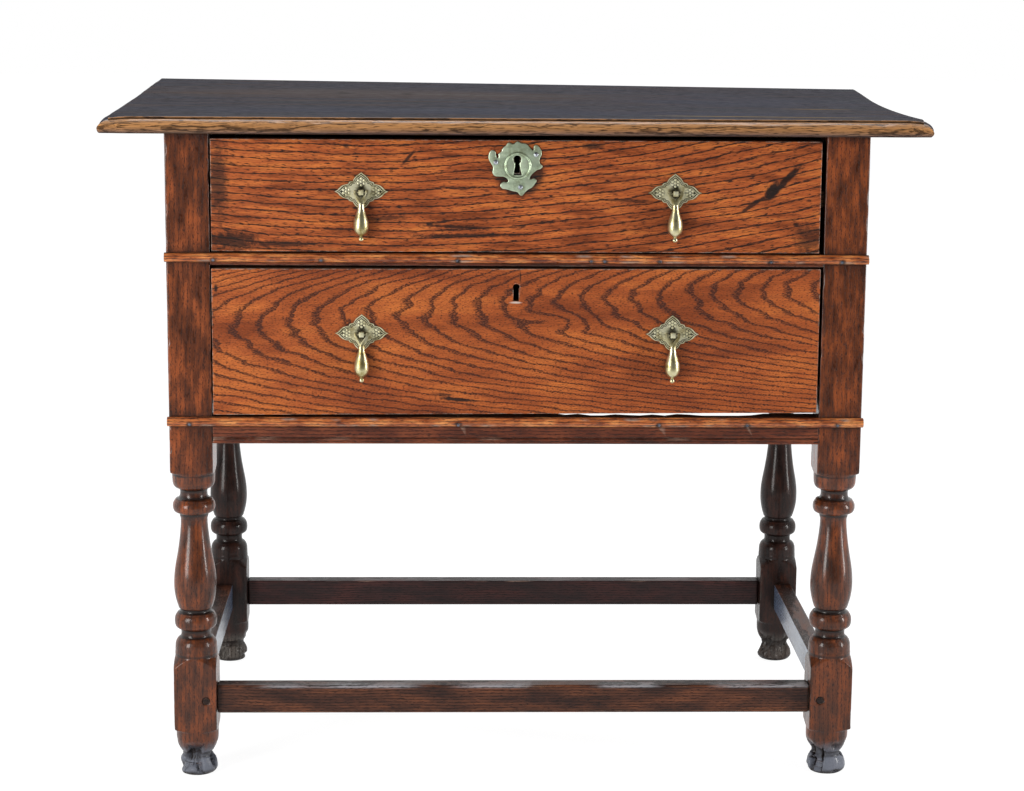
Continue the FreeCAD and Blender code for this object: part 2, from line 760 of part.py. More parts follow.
def build_stretchers():
    z = ((block_bottom + s.stretcher_rise), (block_bottom + s.stretcher_rise) + s.stretcher_height)
    for where in ("front", "back", "left", "right"):
        plain_rail("stretcher_" + where, where, s.stretcher_setback, s.stretcher_thickness, z)


def build_front_rails(nails, bolt_mortise):
    z = (divider_bottom, divider_top)
    body = block("divider_body", (-inner_x, inner_x), (case_front, case_front + s.divider_depth), z)
    made, pegs = pegged_rail("drawer_divider", "front", body, widened(z, -s.thin_shoulder),
                             (divider_bottom + divider_top) / 2, from_inside=True)
    part(cut("divider_cut", made, pegs + nails["upper"] + bolt_mortise), "drawer_divider_rail")

    body = new_body("bottom_rail", x=-inner_x, y=case_front, z=rail_bottom)
    profile = new_sketch(body, "YZ_Plane")
    outline(profile, [
        (0, 0), (s.front_rail_thickness, 0), (s.front_rail_thickness, s.front_rail_height),
        (0, s.front_rail_height), (0, s.bead_height + s.bead_quirk),
        (s.bead_quirk, s.bead_height), (s.bead_quirk / 2, s.bead_height),
        (0, s.bead_height - s.bead_quirk / 2),
    ])
    pad(body, profile, inner_x * 2)
    z = (rail_bottom + s.tenon_shoulder,
         rail_bottom + s.front_rail_height - s.tenon_shoulder + 2)
    made, pegs = pegged_rail("front_bottom_rail", "front", body, z,
                             rail_bottom + s.front_rail_height / 2, from_inside=True)
    part(cut("front_bottom_rail_cut", made, pegs + nails["lower"]), "front_bottom_rail")


# ---- applied mouldings ----

# Nail places along each bead, as shares of the way from the middle to the end.
NAILS = {"upper": (-0.865, -0.559, -0.171, 0.209, 0.247, 0.406, 0.722, 0.926),
         "lower": (-0.939, -0.168, 0.411, 0.666, 0.929)}


def moulding_nails():
    start_y = case_front - s.moulding_projection + s.nail_sink
    nails = {}
    for level, low in (("upper", upper_bead), ("lower", lower_bead)):
        start_z = low + s.moulding_nail_rise
        nails[level] = [rod(level + "_moulding_nail", s.nail_radius,
                            (case_half * share, start_y, start_z), "y", s.nail_length)
                        for share in NAILS[level]]
    return nails


def bead(label, low, height, nails):
    """A half-round bead nailed across both stiles and the rail behind it."""
    body = new_body(label + "_body", x=-case_half - s.moulding_overrun, y=case_front, z=low)
    profile = new_sketch(body, "YZ_Plane")
    flat = s.moulding_flat
    middle = (-s.moulding_projection, height / 2)
    bend = crown(height / 2, s.moulding_projection - flat)
    outline(profile, [(0, 0), (0, height), (-flat, height, bend), middle + (bend,), (-flat, 0)])
    pad(body, profile, s.case_width + s.moulding_overrun * 2)
    part(cut(label + "_cut", body, nails), label)


# ---- runners ----

def build_runners():
    nails = []
    y = (case_front + s.front_thickness - s.lap_depth + s.stop_gap,
         case_back - s.rail_setback - s.rail_thickness - s.runner_back_gap)
    places = (inner_front - leg_radius, inner_back + s.leg_square / 5)
    length = s.runner_projection + leg_radius
    for level, low in (("upper", upper_bottom + s.upper_runner_rise),
                       ("lower", lower_bottom + s.lower_runner_rise)):
        for name, side in SIDES.items():
            outer = inner_x + s.runner_housing
            inner = inner_x - s.runner_projection
            x = (-outer, -inner) if side < 0 else (inner, outer)
            body = block(level + "_runner", x, y, (low, low + s.runner_height))
            start = -inner_x - leg_radius if side < 0 else inner
            pair = [rod("runner_nail", s.nail_radius, (start, place, low + s.runner_height / 2),
                        "x", length) for place in places]
            joinery.add([("front", name), ("back", name)], body)
            joinery.add([("front", name)], pair[0])
            joinery.add([("back", name)], pair[1])
            part(cut(level + "_runner_cut", body, pair), "runner_" + level + "_" + name)
            nails += pair
    group("runner_nails", nails)


# ---- drawers ----

class Drawer:
    """The places that the pieces of one drawer share."""

    def __init__(self, level, gaps, bottom, height, rise, lean, runner, handle):
        self.level = level
        self.left = gaps[0] - inner_x
        self.right = inner_x - gaps[1]
        self.bottom = bottom
        self.top = bottom + height
        self.rise = rise
        self.lean = lean
        self.runner = bottom + runner
        self.handle = bottom + handle
        self.face = case_front
        self.inside = case_front + s.front_thickness
        self.end = case_back - s.rail_setback - s.rail_thickness - s.drawer_back_gap
        self.floor = bottom + rise + s.bottom_raise
        self.side_low = self.floor + s.bottom_thickness
        self.side_high = self.top - s.side_top_gap
        self.lap = self.inside - s.lap_depth
        middle = (s.keyhole_x - self.left) / (self.right - self.left)
        self.lock_top = self.top + lean * middle - s.lock_drop
        self.keyhole = self.top + lean * middle - s.keyhole_drop


def drawer_front(d, nails, extra):
    width = d.right - d.left
    body = new_body(d.level + "_front", x=d.left, y=d.inside)
    sketch = new_sketch(body, "XZ_Plane")
    outline(sketch, [(0, d.bottom), (width, d.bottom + d.rise), (width, d.top + d.lean),
                     (0, d.top)])
    pad(body, sketch, s.front_thickness)
    laps = []
    for x in ((d.left, d.left + s.side_thickness), (d.right - s.side_thickness, d.right)):
        laps.append(block("side_lap", x, (d.lap, d.inside), (d.side_low, d.side_high)))
    laps.append(block("bottom_lap", (d.left, d.right), (d.inside - s.bottom_lap, d.inside),
                      (d.floor, d.side_low)))
    recess = block("lock_recess", (s.keyhole_x - s.lock_width / 2, s.keyhole_x + s.lock_width / 2),
                   (d.inside - s.lock_depth, d.inside),
                   (d.lock_top - s.lock_height, d.top + d.lean + 1))
    cuts = laps + [recess] + keyhole_cuts(d, d.face - 1, d.inside, s.keyhole_radius)
    part(cut(d.level + "_front_cut", body, cuts + nails + extra), d.level + "_drawer_front")


def keyhole_cuts(d, near, far, radius):
    """A round head with a slot below it, cut through from front to back."""
    head = rod("keyhole_head", radius, (s.keyhole_x, near, d.keyhole), "y", far - near)
    half = s.keyhole_slot / 2
    slot = block("keyhole_slot", (s.keyhole_x - half, s.keyhole_x + half), (near, far),
                 (d.keyhole - s.keyhole_length, d.keyhole))
    return [head, slot]


def drawer_box(d):
    """Sides, back and bottom, with the nails that hold them together."""
    nails = {"front": [], "left": [], "right": [], "back": [], "bottom": []}
    sides = {"left": (d.left, d.left + s.side_thickness),
             "right": (d.right - s.side_thickness, d.right)}
    low, high = d.side_low, d.side_high
    for name, x in sides.items():
        for end, y, length in (("front", d.inside - s.lap_depth / 2, s.nail_length),
                               ("back", d.end - s.back_thickness / 2, s.long_nail_length)):
            start = x[0] if name == "left" else x[1] - length
            for z in (low + s.nail_inset, high - s.nail_inset):
                nail = rod(end + "_nail", s.nail_radius, (start, y, z), "x", length)
                nails[name].append(nail)
                nails[end].append(nail)
        for quarter in (1, 2, 3):
            y = d.inside + (d.end - d.inside) * quarter / 4
            nail = rod("bottom_nail", s.nail_radius, ((x[0] + x[1]) / 2, y, d.floor), "z",
                       s.nail_length)
            nails[name].append(nail)
            nails["bottom"].append(nail)
    for name, x in sides.items():
        body = block(name + "_side_body", x, (d.lap, d.end), (low, high))
        depth = (x[0], x[0] + s.groove_depth)
        if name == "right":
            depth = (x[1] - s.groove_depth, x[1])
        groove = block("runner_groove", depth, (d.lap, d.end),
                       (d.runner - s.groove_play, d.runner + s.runner_height + s.seat_gap))
        part(cut(name + "_side_cut", body, [groove] + nails[name]),
             d.level + "_drawer_side_" + name)
    back = block("back_body", (sides["left"][1], sides["right"][0]),
                 (d.end - s.back_thickness, d.end), (low, high - s.back_drop))
    part(cut("back_cut", back, nails["back"]), d.level + "_drawer_back")
    bottom = block("bottom_body", (d.left, d.right), (d.inside - s.bottom_lap, d.end),
                   (d.floor, low))
    part(cut("bottom_cut", bottom, nails["bottom"]), d.level + "_drawer_bottom")
    group(d.level + "_drawer_nails", nails["left"] + nails["right"])
    return nails["front"]


def lock(d):
    x = (s.keyhole_x - s.lock_width / 2, s.keyhole_x + s.lock_width / 2)
    y = (d.inside - s.lock_depth, d.inside)
    case = block("lock_body", x, y, (d.lock_top - s.lock_height, d.lock_top))
    slot = block("bolt_slot", bolt_span(), bolt_depth(),
                 (d.lock_top - s.bolt_height - s.bolt_sink * 2, d.lock_top))
    cuts = [slot] + keyhole_cuts(d, y[0], y[1], s.keyhole_radius)
    part(cut("lock_cut", case, cuts), d.level + "_lock_case")
    span = bolt_span()
    depth = bolt_depth()
    bolt = block("bolt_body", (span[0] + s.bolt_play, span[1] - s.bolt_play),
                 (depth[0] + s.bolt_play, depth[1] - s.bolt_play),
                 (d.lock_top - s.bolt_height - s.bolt_sink, d.lock_top - s.bolt_sink))
    part(bolt, d.level + "_lock_bolt")


def plate_outline():
    """Cusped lozenge of a back plate, right half from the lower tip to the upper one."""
    tip = s.plate_width / 2
    up = s.plate_up
    down = s.plate_down
    right = [
        (0, -down), (tip * 0.15, down * -0.84, 12), (tip * 0.3, down * -0.55),
        (tip * 0.44, down * -0.5, 3), (tip * 0.47, down * -0.4), (tip * 0.66, down * -0.34, 14),
        (tip * 0.86, down * -0.1, -9), (tip, 0, -9), (tip * 0.86, up * 0.1, 14),
        (tip * 0.66, up * 0.34), (tip * 0.47, up * 0.4, 3), (tip * 0.44, up * 0.5),
        (tip * 0.3, up * 0.55, 12), (tip * 0.15, up * 0.84),
    ]
    left = [(0, up)]
    for place, corner in reversed(list(enumerate(right))[1:]):
        before = right[place - 1]
        bend = before[2:] if len(before) > 2 else ()
        left.append((size(corner[0]) * -1, corner[1]) + tuple(bend))
    return right + left


def handles(d):
    """Back plates, posts, pivot wires, nuts and the two hanging drops of one drawer."""
    plates, fixings, holes = [], [], []
    pivot_y = d.face - s.pivot_reach
    for name, side in SIDES.items():
        x = s.handle_spread / 2 * side
        z = d.handle
        hole = rod("post_hole", s.post_radius, (x, d.face - 1, z), "y", s.front_thickness + 1)
        holes.append(hole)
        body = new_body(d.level + "_plate_" + name, x=x, y=d.face, z=z)
        sketch = new_sketch(body, "XZ_Plane")
        outline(sketch, plate_outline())
        circle(sketch, 0, 0, s.post_radius)
        pad(body, sketch, s.plate_thickness)
        plates.append(body)

        tail = s.front_thickness + s.nut_thickness + s.post_tail
        shank = rod("post_shank", s.post_radius, (x, pivot_y, z), "y", s.pivot_reach + tail)
        half = s.post_head / 2
        head = block("post_head", (x - half, x + half), (pivot_y - half, pivot_y + half),
                     (z - half, z + half))
        bore = rod("pivot_bore", s.pivot_radius, (x - half, pivot_y, z), "x", s.post_head)
        post = cut("handle_post", joined("post_blank", [shank, head]), [bore])
        wire = rod("pivot_wire", s.pivot_radius, (x - s.pivot_length / 2, pivot_y, z), "x",
                   s.pivot_length)
        flat = s.nut_width / 2
        nut = block("nut_blank", (x - flat, x + flat), (d.inside, d.inside + s.nut_thickness),
                    (z - flat, z + flat))
        thread = rod("nut_hole", s.post_radius, (x, d.inside, z), "y", s.nut_thickness)
        fixings += [post, wire, cut("nut", nut, [thread])]
        part(drop(d.level + "_drop_" + name + "_body", x, pivot_y, z),
             d.level + "_drop_" + name)
    group(d.level + "_handle_plates", plates)
    group(d.level + "_handle_posts", fixings)
    return holes


def drop(name, x, y, z):
    """A forked pear drop that hangs from its pivot wire."""
    body = new_body(name, x, y, z)
    fork = new_sketch(body, "XZ_Plane")
    top = s.ear_thickness / 2
    outline(fork, [
        (-s.ear_outside, top), (-s.ear_outside, -s.ear_drop), (-s.drop_neck, -s.fork_end),
        (s.drop_neck, -s.fork_end), (s.ear_outside, -s.ear_drop), (s.ear_outside, top),
        (s.ear_inside, top), (s.ear_inside, -s.ear_drop), (0, -s.fork_gap),
        (-s.ear_inside, -s.ear_drop), (-s.ear_inside, top),
    ])
    pad(body, fork, s.ear_thickness, both_ways=True)
    pear = new_sketch(body, "XZ_Plane")
    ball = s.finial_radius
    throat = ball * 0.7
    inside = 1 - s.fork_end
    outline(pear, [
        (0, inside), (0, -s.finial_end, ball), (ball, ball - s.finial_end),
        (throat, ball * 2 - s.finial_end), (throat, -s.drop_end),
        (s.drop_radius, -s.drop_belly), (s.drop_radius * 0.8, -s.drop_shoulder),
        (s.drop_neck, -s.drop_throat), (s.drop_neck, inside),
    ])
    turned(body, pear)
    bore = new_sketch(body, "YZ_Plane")
    circle(bore, 0, 0, s.pivot_radius + s.pivot_play)
    pocket(body, bore, s.ear_outside * 3, both_ways=True)
    return body


# ---- escutcheon ----

# Cast outline about the ring centre, clockwise from the top lobe; each place is (across, up).
CARTOUCHE = [
    (0, 27.2), (9, 24.5), (13.3, 20.1), (17.1, 17.4), (19.3, 23.4), (24.8, 19), (26.4, 13.1),
    (24.2, 5.5), (27.5, -0.5), (22, -4.4), (15.5, -9.8), (13.3, -14), (20.9, -16.3), (16, -23.9),
    (7.9, -29.9), (4.1, -33.5), (0, -29.4), (-12.8, -26.1), (-17.7, -25), (-19.3, -21.2),
    (-16, -18.2), (-11.2, -16.6), (-15, -12.5), (-25.3, -11.4), (-28, -8.2), (-29.6, 2.2),
    (-32.1, 6.5), (-32.1, 13.1), (-28.6, 17.4), (-25.3, 15.8), (-23.1, 8.7), (-21.5, 13.1),
    (-18.5, 15.8), (-13.6, 22.3), (-10.6, 25.8), (-5.2, 24.2),
]
PINS = [(-24.5, 3.8), (20.1, 12.5), (3, -23.7)]


def escutcheon(d):
    centre_x = s.keyhole_x + s.escutcheon_shift
    centre_z = d.top - s.escutcheon_centre_drop
    body = new_body("escutcheon_body", x=centre_x, y=d.face, z=centre_z)
    sketch = new_sketch(body, "XZ_Plane")
    outline(sketch, CARTOUCHE)
    pad(body, sketch, s.escutcheon_thickness)
    ring = new_sketch(body, "XZ_Plane")
    circle(ring, 0, 0, s.escutcheon_ring)
    circle(ring, 0, 0, s.escutcheon_ring_inner)
    pad(body, ring, s.escutcheon_ring_height)
    surface = d.face - s.escutcheon_thickness
    turn = FreeCAD.Rotation(FreeCAD.Vector(1, 0, 0), 90)
    holes, pins = [], []
    for across, up in PINS:
        x, z = centre_x + across, centre_z + up
        shank = rod("pin_shank", s.pin_shank_radius, (x, surface, z), "y", s.pin_shank_length)
        head = doc.addObject("Part::Cone", "pin_head")
        head.Placement = FreeCAD.Placement(FreeCAD.Vector(), turn)
        bind(head, "Radius1", s.pin_head_radius)
        bind(head, "Radius2", s.pin_head_radius / 2)
        bind(head, "Height", s.pin_head_height)
        for axis, place in zip("xyz", (x, surface, z)):
            bind(head, "Placement.Base." + axis, place)
        pins.append(joined("pin", [shank, head]))
        holes.append(shank)
    near = d.face - s.escutcheon_ring_height - 1
    cuts = holes + keyhole_cuts(d, near, d.face, s.keyhole_radius)
    part(cut("escutcheon_cut", body, cuts), "escutcheon")
    group("escutcheon_pins", pins)
    return holes


def build_drawers():
    upper = Drawer("upper", (s.upper_gap_left, s.upper_gap_right), upper_bottom,
                   s.upper_drawer_height, size(0), size(0), s.upper_runner_rise,
                   s.upper_handle_rise)
    lower = Drawer("lower", (s.lower_gap_left, s.lower_gap_right), lower_bottom,
                   s.lower_drawer_height, s.lower_drawer_rise, s.lower_drawer_lean,
                   s.lower_runner_rise, s.lower_handle_rise)
    for d in (upper, lower):
        nails = drawer_box(d)
        holes = handles(d)
        lock(d)
        if d is upper:
            holes += escutcheon(d)
        drawer_front(d, nails, holes)


def build_frame():
    pegs = build_top()
    nails = moulding_nails()
    mortise_top = divider_top - s.mortise_roof
    bolt_mortise = [block("lower_bolt_mortise", bolt_span(), bolt_depth(),
                          (divider_bottom, mortise_top))]
    build_rails(pegs)
    build_stretchers()
    build_front_rails(nails, bolt_mortise)
    build_runners()
    bead("bead_moulding_upper", upper_bead, s.upper_moulding_height, nails["upper"])
    bead("bead_moulding_lower", lower_bead, s.lower_moulding_height, nails["lower"])
    group("moulding_nails", nails["upper"] + nails["lower"])
    group("frame_pegs", joinery.pegs)
    for number, end in enumerate((("front", "left"), ("front", "right"),
                                  ("back", "left"), ("back", "right"))):
        side = SIDES[end[1]]
        x = (case_half - leg_radius) * side
        y = case_front + leg_radius if end[0] == "front" else case_back - leg_radius
        body = leg_body("leg_" + "_".join(end) + "_body", x, y)
        cuts = joinery.cuts[end] + [pegs[number]]
        if end[0] == "front":
            cuts += nails["upper"] + nails["lower"]
        part(cut("leg_cut", body, cuts), "leg_" + "_".join(end))


build_frame()
build_drawers()
doc.recompute()

faults = [item.Label + ": " + ", ".join(item.State) for item in doc.Objects
          if "Invalid" in item.State or "Error" in item.State]
faults += [item.Label + ": empty shape" for item in parts if item.Shape.isNull()]
faults += [item.Label + ": bad shape" for item in parts
           if not item.Shape.isNull() and not item.Shape.isValid()]
if faults:
    sys.exit("\n".join(faults))

os.makedirs("parts", exist_ok=True)
for item in parts:
    item.Shape.exportStep(os.path.join("parts", item.Label + ".step"))
print(len(parts), "sub-parts written")
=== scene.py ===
import json
import math

import bpy
import numpy as np
from mathutils import Matrix, Vector, noise

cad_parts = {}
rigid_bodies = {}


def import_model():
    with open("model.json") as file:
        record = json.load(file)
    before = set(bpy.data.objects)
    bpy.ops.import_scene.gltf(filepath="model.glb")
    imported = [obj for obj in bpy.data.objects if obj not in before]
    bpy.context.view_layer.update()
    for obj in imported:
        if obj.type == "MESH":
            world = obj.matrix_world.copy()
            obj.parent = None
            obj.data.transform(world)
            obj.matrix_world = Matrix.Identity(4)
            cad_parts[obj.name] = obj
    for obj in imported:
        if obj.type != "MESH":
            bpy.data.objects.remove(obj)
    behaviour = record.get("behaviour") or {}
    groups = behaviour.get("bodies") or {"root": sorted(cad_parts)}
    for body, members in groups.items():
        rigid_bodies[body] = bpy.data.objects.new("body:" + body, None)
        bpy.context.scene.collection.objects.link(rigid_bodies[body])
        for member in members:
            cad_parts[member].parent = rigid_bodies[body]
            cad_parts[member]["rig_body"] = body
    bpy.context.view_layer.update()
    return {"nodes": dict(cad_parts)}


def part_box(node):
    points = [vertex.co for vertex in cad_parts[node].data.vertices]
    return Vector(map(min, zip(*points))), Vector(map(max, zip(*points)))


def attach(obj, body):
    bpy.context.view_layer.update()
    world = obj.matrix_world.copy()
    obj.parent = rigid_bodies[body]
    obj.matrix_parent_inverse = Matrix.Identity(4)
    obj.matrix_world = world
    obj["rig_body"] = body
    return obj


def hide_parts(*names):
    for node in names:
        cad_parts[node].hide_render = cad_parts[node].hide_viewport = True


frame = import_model()
nodes = frame["nodes"]
print("frame loaded,", len(nodes), "nodes")


# small tools

mergeReach = 0.00001   # points closer than this are one, in metres
flatAngle = 0.4        # faces that turn less than this are one, in degrees


def hexToLinear(code):
    parts = [int(code[i:i + 2], 16) / 255 for i in (1, 3, 5)]
    return [p / 12.92 if p <= 0.04045 else ((p + 0.055) / 1.055) ** 2.4 for p in parts] + [1.0]


def newTree(owner):
    owner.use_nodes = True
    owner.node_tree.nodes.clear()
    return owner.node_tree


# inputs are numbers, or the node or socket to link
def addNode(tree, kind, inputs=None, **settings):
    node = tree.nodes.new("ShaderNode" + kind)
    for key, value in settings.items():
        setattr(node, key, value)
    for key, value in (inputs or {}).items():
        source = value.outputs[0] if hasattr(value, "outputs") else value
        if isinstance(source, bpy.types.NodeSocket):
            tree.links.new(source, node.inputs[key])
        else:
            node.inputs[key].default_value = source
    return node


def addMath(tree, operation, *values, clamp=False):
    return addNode(tree, "Math", dict(enumerate(values)), operation=operation, use_clamp=clamp)


def addVector(tree, operation, first, second):
    return addNode(tree, "VectorMath", {0: first, ("Scale" if operation == "SCALE" else 1): second},
                   operation=operation)


def addRange(tree, source, low, high, start=0.0, end=1.0, smooth=False):
    return addNode(tree, "MapRange", {0: source, 1: low, 2: high, 3: start, 4: end},
                   interpolation_type="SMOOTHSTEP" if smooth else "LINEAR")


def addMix(tree, share, first, second):
    return addNode(tree, "Mix", {0: share, 6: first, 7: second}, data_type="RGBA").outputs[2]


def addNoise(tree, place, scale, detail, roughness=0.5):
    return addNode(tree, "TexNoise", {"Vector": place, "Scale": scale, "Detail": detail, "Roughness": roughness})


def addRamp(tree, source, stops):
    node = addNode(tree, "ValToRGB", {0: source})
    ramp = node.color_ramp
    while len(ramp.elements) < len(stops):
        ramp.elements.new(0.5)
    for stop, (place, tone) in zip(ramp.elements, stops):
        stop.position = place
        stop.color = hexToLinear(tone) if isinstance(tone, str) else (tone, tone, tone, 1)
    return node


def addGrime(tree, look, colour):
    # darkens corners found by ambient occlusion, as grime and painted shade, and wherever the hollow mask says, which
    # is mostly painted shade and shadow
    corner = addNode(tree, "AmbientOcclusion", {"Distance": look["dirtReach"]}, samples=4)
    low, high = look.get("dirtRange", (0.9, 0.45))
    grime = addRange(tree, corner.outputs["AO"], low, high, 0.0, look["dirtDepth"])
    hollow = addNode(tree, "Attribute", attribute_name="hollow").outputs["Fac"]
    share = addMath(tree, "ADD", grime, hollow, clamp=True)
    return share, addMix(tree, share, colour, hexToLinear(look["dirt"]))


def onlySelect(piece):
    for item in bpy.context.view_layer.objects:
        item.select_set(False)
    piece.select_set(True)
    bpy.context.view_layer.objects.active = piece


def joinTo(piece, others):
    onlySelect(piece)
    for other in others:
        other.select_set(True)
    bpy.ops.object.join()


def editAll(piece):
    onlySelect(piece)
    bpy.ops.object.mode_set(mode="EDIT")
    bpy.ops.mesh.select_all(action="SELECT")


def endEdit():
    bpy.ops.object.mode_set(mode="OBJECT")


def applyModifier(piece, kind, **settings):
    onlySelect(piece)
    modifier = piece.modifiers.new(kind.title(), kind)
    for key, value in settings.items():
        setattr(modifier, key, value)
    bpy.ops.object.modifier_apply(modifier=modifier.name)


def copyOfNode(nodeName, pieceName, flatten=True):
    piece = bpy.data.objects.new(pieceName, nodes[nodeName].data.copy())
    bpy.context.scene.collection.objects.link(piece)
    piece.data.materials.clear()
    onlySelect(piece)
    bpy.ops.mesh.customdata_custom_splitnormals_clear()
    editAll(piece)
    bpy.ops.mesh.remove_doubles(threshold=mergeReach)
    if flatten:
        bpy.ops.mesh.dissolve_limited(angle_limit=math.radians(flatAngle))
    endEdit()
    return piece


def smoothShade(piece, angle=35):
    onlySelect(piece)
    bpy.ops.object.shade_smooth_by_angle(angle=math.radians(angle))


def easeEdges(piece, width, angle=40):
    applyModifier(piece, "BEVEL", width=width, segments=2, limit_method="ANGLE", angle_limit=math.radians(angle))


def dress(piece, nodeName, material):
    piece.data.materials.clear()
    piece.data.materials.append(material)
    for face in piece.data.polygons:
        face.material_index = 0
    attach(piece, nodes[nodeName]["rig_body"])
    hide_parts(nodeName)


def smoothStep(value, low, high):
    part = np.clip((value - low) / (high - low), 0, 1)
    return part * part * (3 - 2 * part)


def storeMask(piece, name, values):
    masks = piece.data.attributes
    mask = masks.get(name) or masks.new(name, "FLOAT", "POINT")
    mask.data.foreach_set("value", np.clip(values, 0, 1).astype(np.float32))


def pointsOf(piece):
    places = np.zeros(len(piece.data.vertices) * 3)
    piece.data.vertices.foreach_get("co", places)
    normals = np.zeros(len(places))
    piece.data.vertex_normals.foreach_get("vector", normals)
    return places.reshape(-1, 3), normals.reshape(-1, 3)


def movePoints(piece, places):
    piece.data.vertices.foreach_set("co", places.reshape(-1))
    piece.data.update()


# stretch is how much faster the noise runs along each axis
def noiseAt(places, scale, seed, stretch=(1, 1, 1)):
    shift = Vector((seed * 3.17, seed * 1.71, seed * 2.39))
    return np.array([noise.noise(Vector(p) * scale + shift) for p in places * np.array(stretch)])


# wood finishes

def grainTurn(along, growth):
    ways = {"x": Vector((1, 0, 0)), "y": Vector((0, 1, 0)), "z": Vector((0, 0, 1))}
    return Matrix((ways[along], ways[growth], ways[along].cross(ways[growth])))


# oak, riven or sawn, planed by hand, waxed for centuries: open pores in dark rings,
# a satin skin that is deepest in the corners, as grime and painted shade, and pale along the edges, rubbed and with a
# painted highlight.
# Lengths in millimetres, rings per millimetre.
plainOak = {
    "along": "x", "growth": "z", "middle": (0, 0, 0),
    "tilt": 0.0, "curl": 0.0, "twist": 0.0, "ringsAlong": 0.0, "ringsAbove": 0.2, "ringsBelow": 0.2, "rounding": 1.0,
    "waver": 5.0, "waverLength": 130.0, "waverWidth": 50.0, "uneven": 1.2, "unevenLength": 55.0, "unevenWidth": 17.0,
    "kinks": [], "toneLength": 120.0, "toneWidth": 34.0, "bandWidth": 0.36, "bandPull": 0.2, "bandTone": 0.3,
    "poreLength": 6.0, "poreWidth": 0.8, "poreEdge": (0.58, 0.68), "poreDepth": 0.8, "fibre": 0.14,
    "light": "#9A5228", "mid": "#7E3F1F", "deep": "#5E2C16", "pore": "#22100A",
    "dirt": "#150B08", "dirtDepth": 0.75, "dirtReach": 0.012, "dirtRange": (0.85, 0.35),
    "worn": "#A98A78", "wornDepth": 0.35, "wornReach": 0.0016, "rubbed": "#A98A78", "marks": [],
    "markTone": "#1B0E09", "gloss": (0.36, 0.55), "coat": 0.0, "coatRoughness": 0.14, "wornCoat": 0.0,
    "specular": 0.32, "relief": 0.00025, "bare": None,
}


def grainNoise(tree, turned, length, width, detail, roughness):
    place = addVector(tree, "MULTIPLY", turned, (1 / length, 1 / width, 1 / width))
    return addNoise(tree, place, 1.0, detail, roughness)


# distance from a spot on the face, 1 at the edge of its size, whatever the depth
def distanceFrom(tree, turned, turn, middle, spot):
    near = addNode(tree, "Mapping", {"Vector": turned, "Location": turn @ (Vector(spot["at"]) - Vector(middle)),
                                     "Rotation": (0, 0, math.radians(spot.get("angle", 0))),
                                     "Scale": (*spot["size"], 1e6)}, vector_type="TEXTURE")
    return addNode(tree, "VectorMath", {0: near}, operation="LENGTH").outputs["Value"]


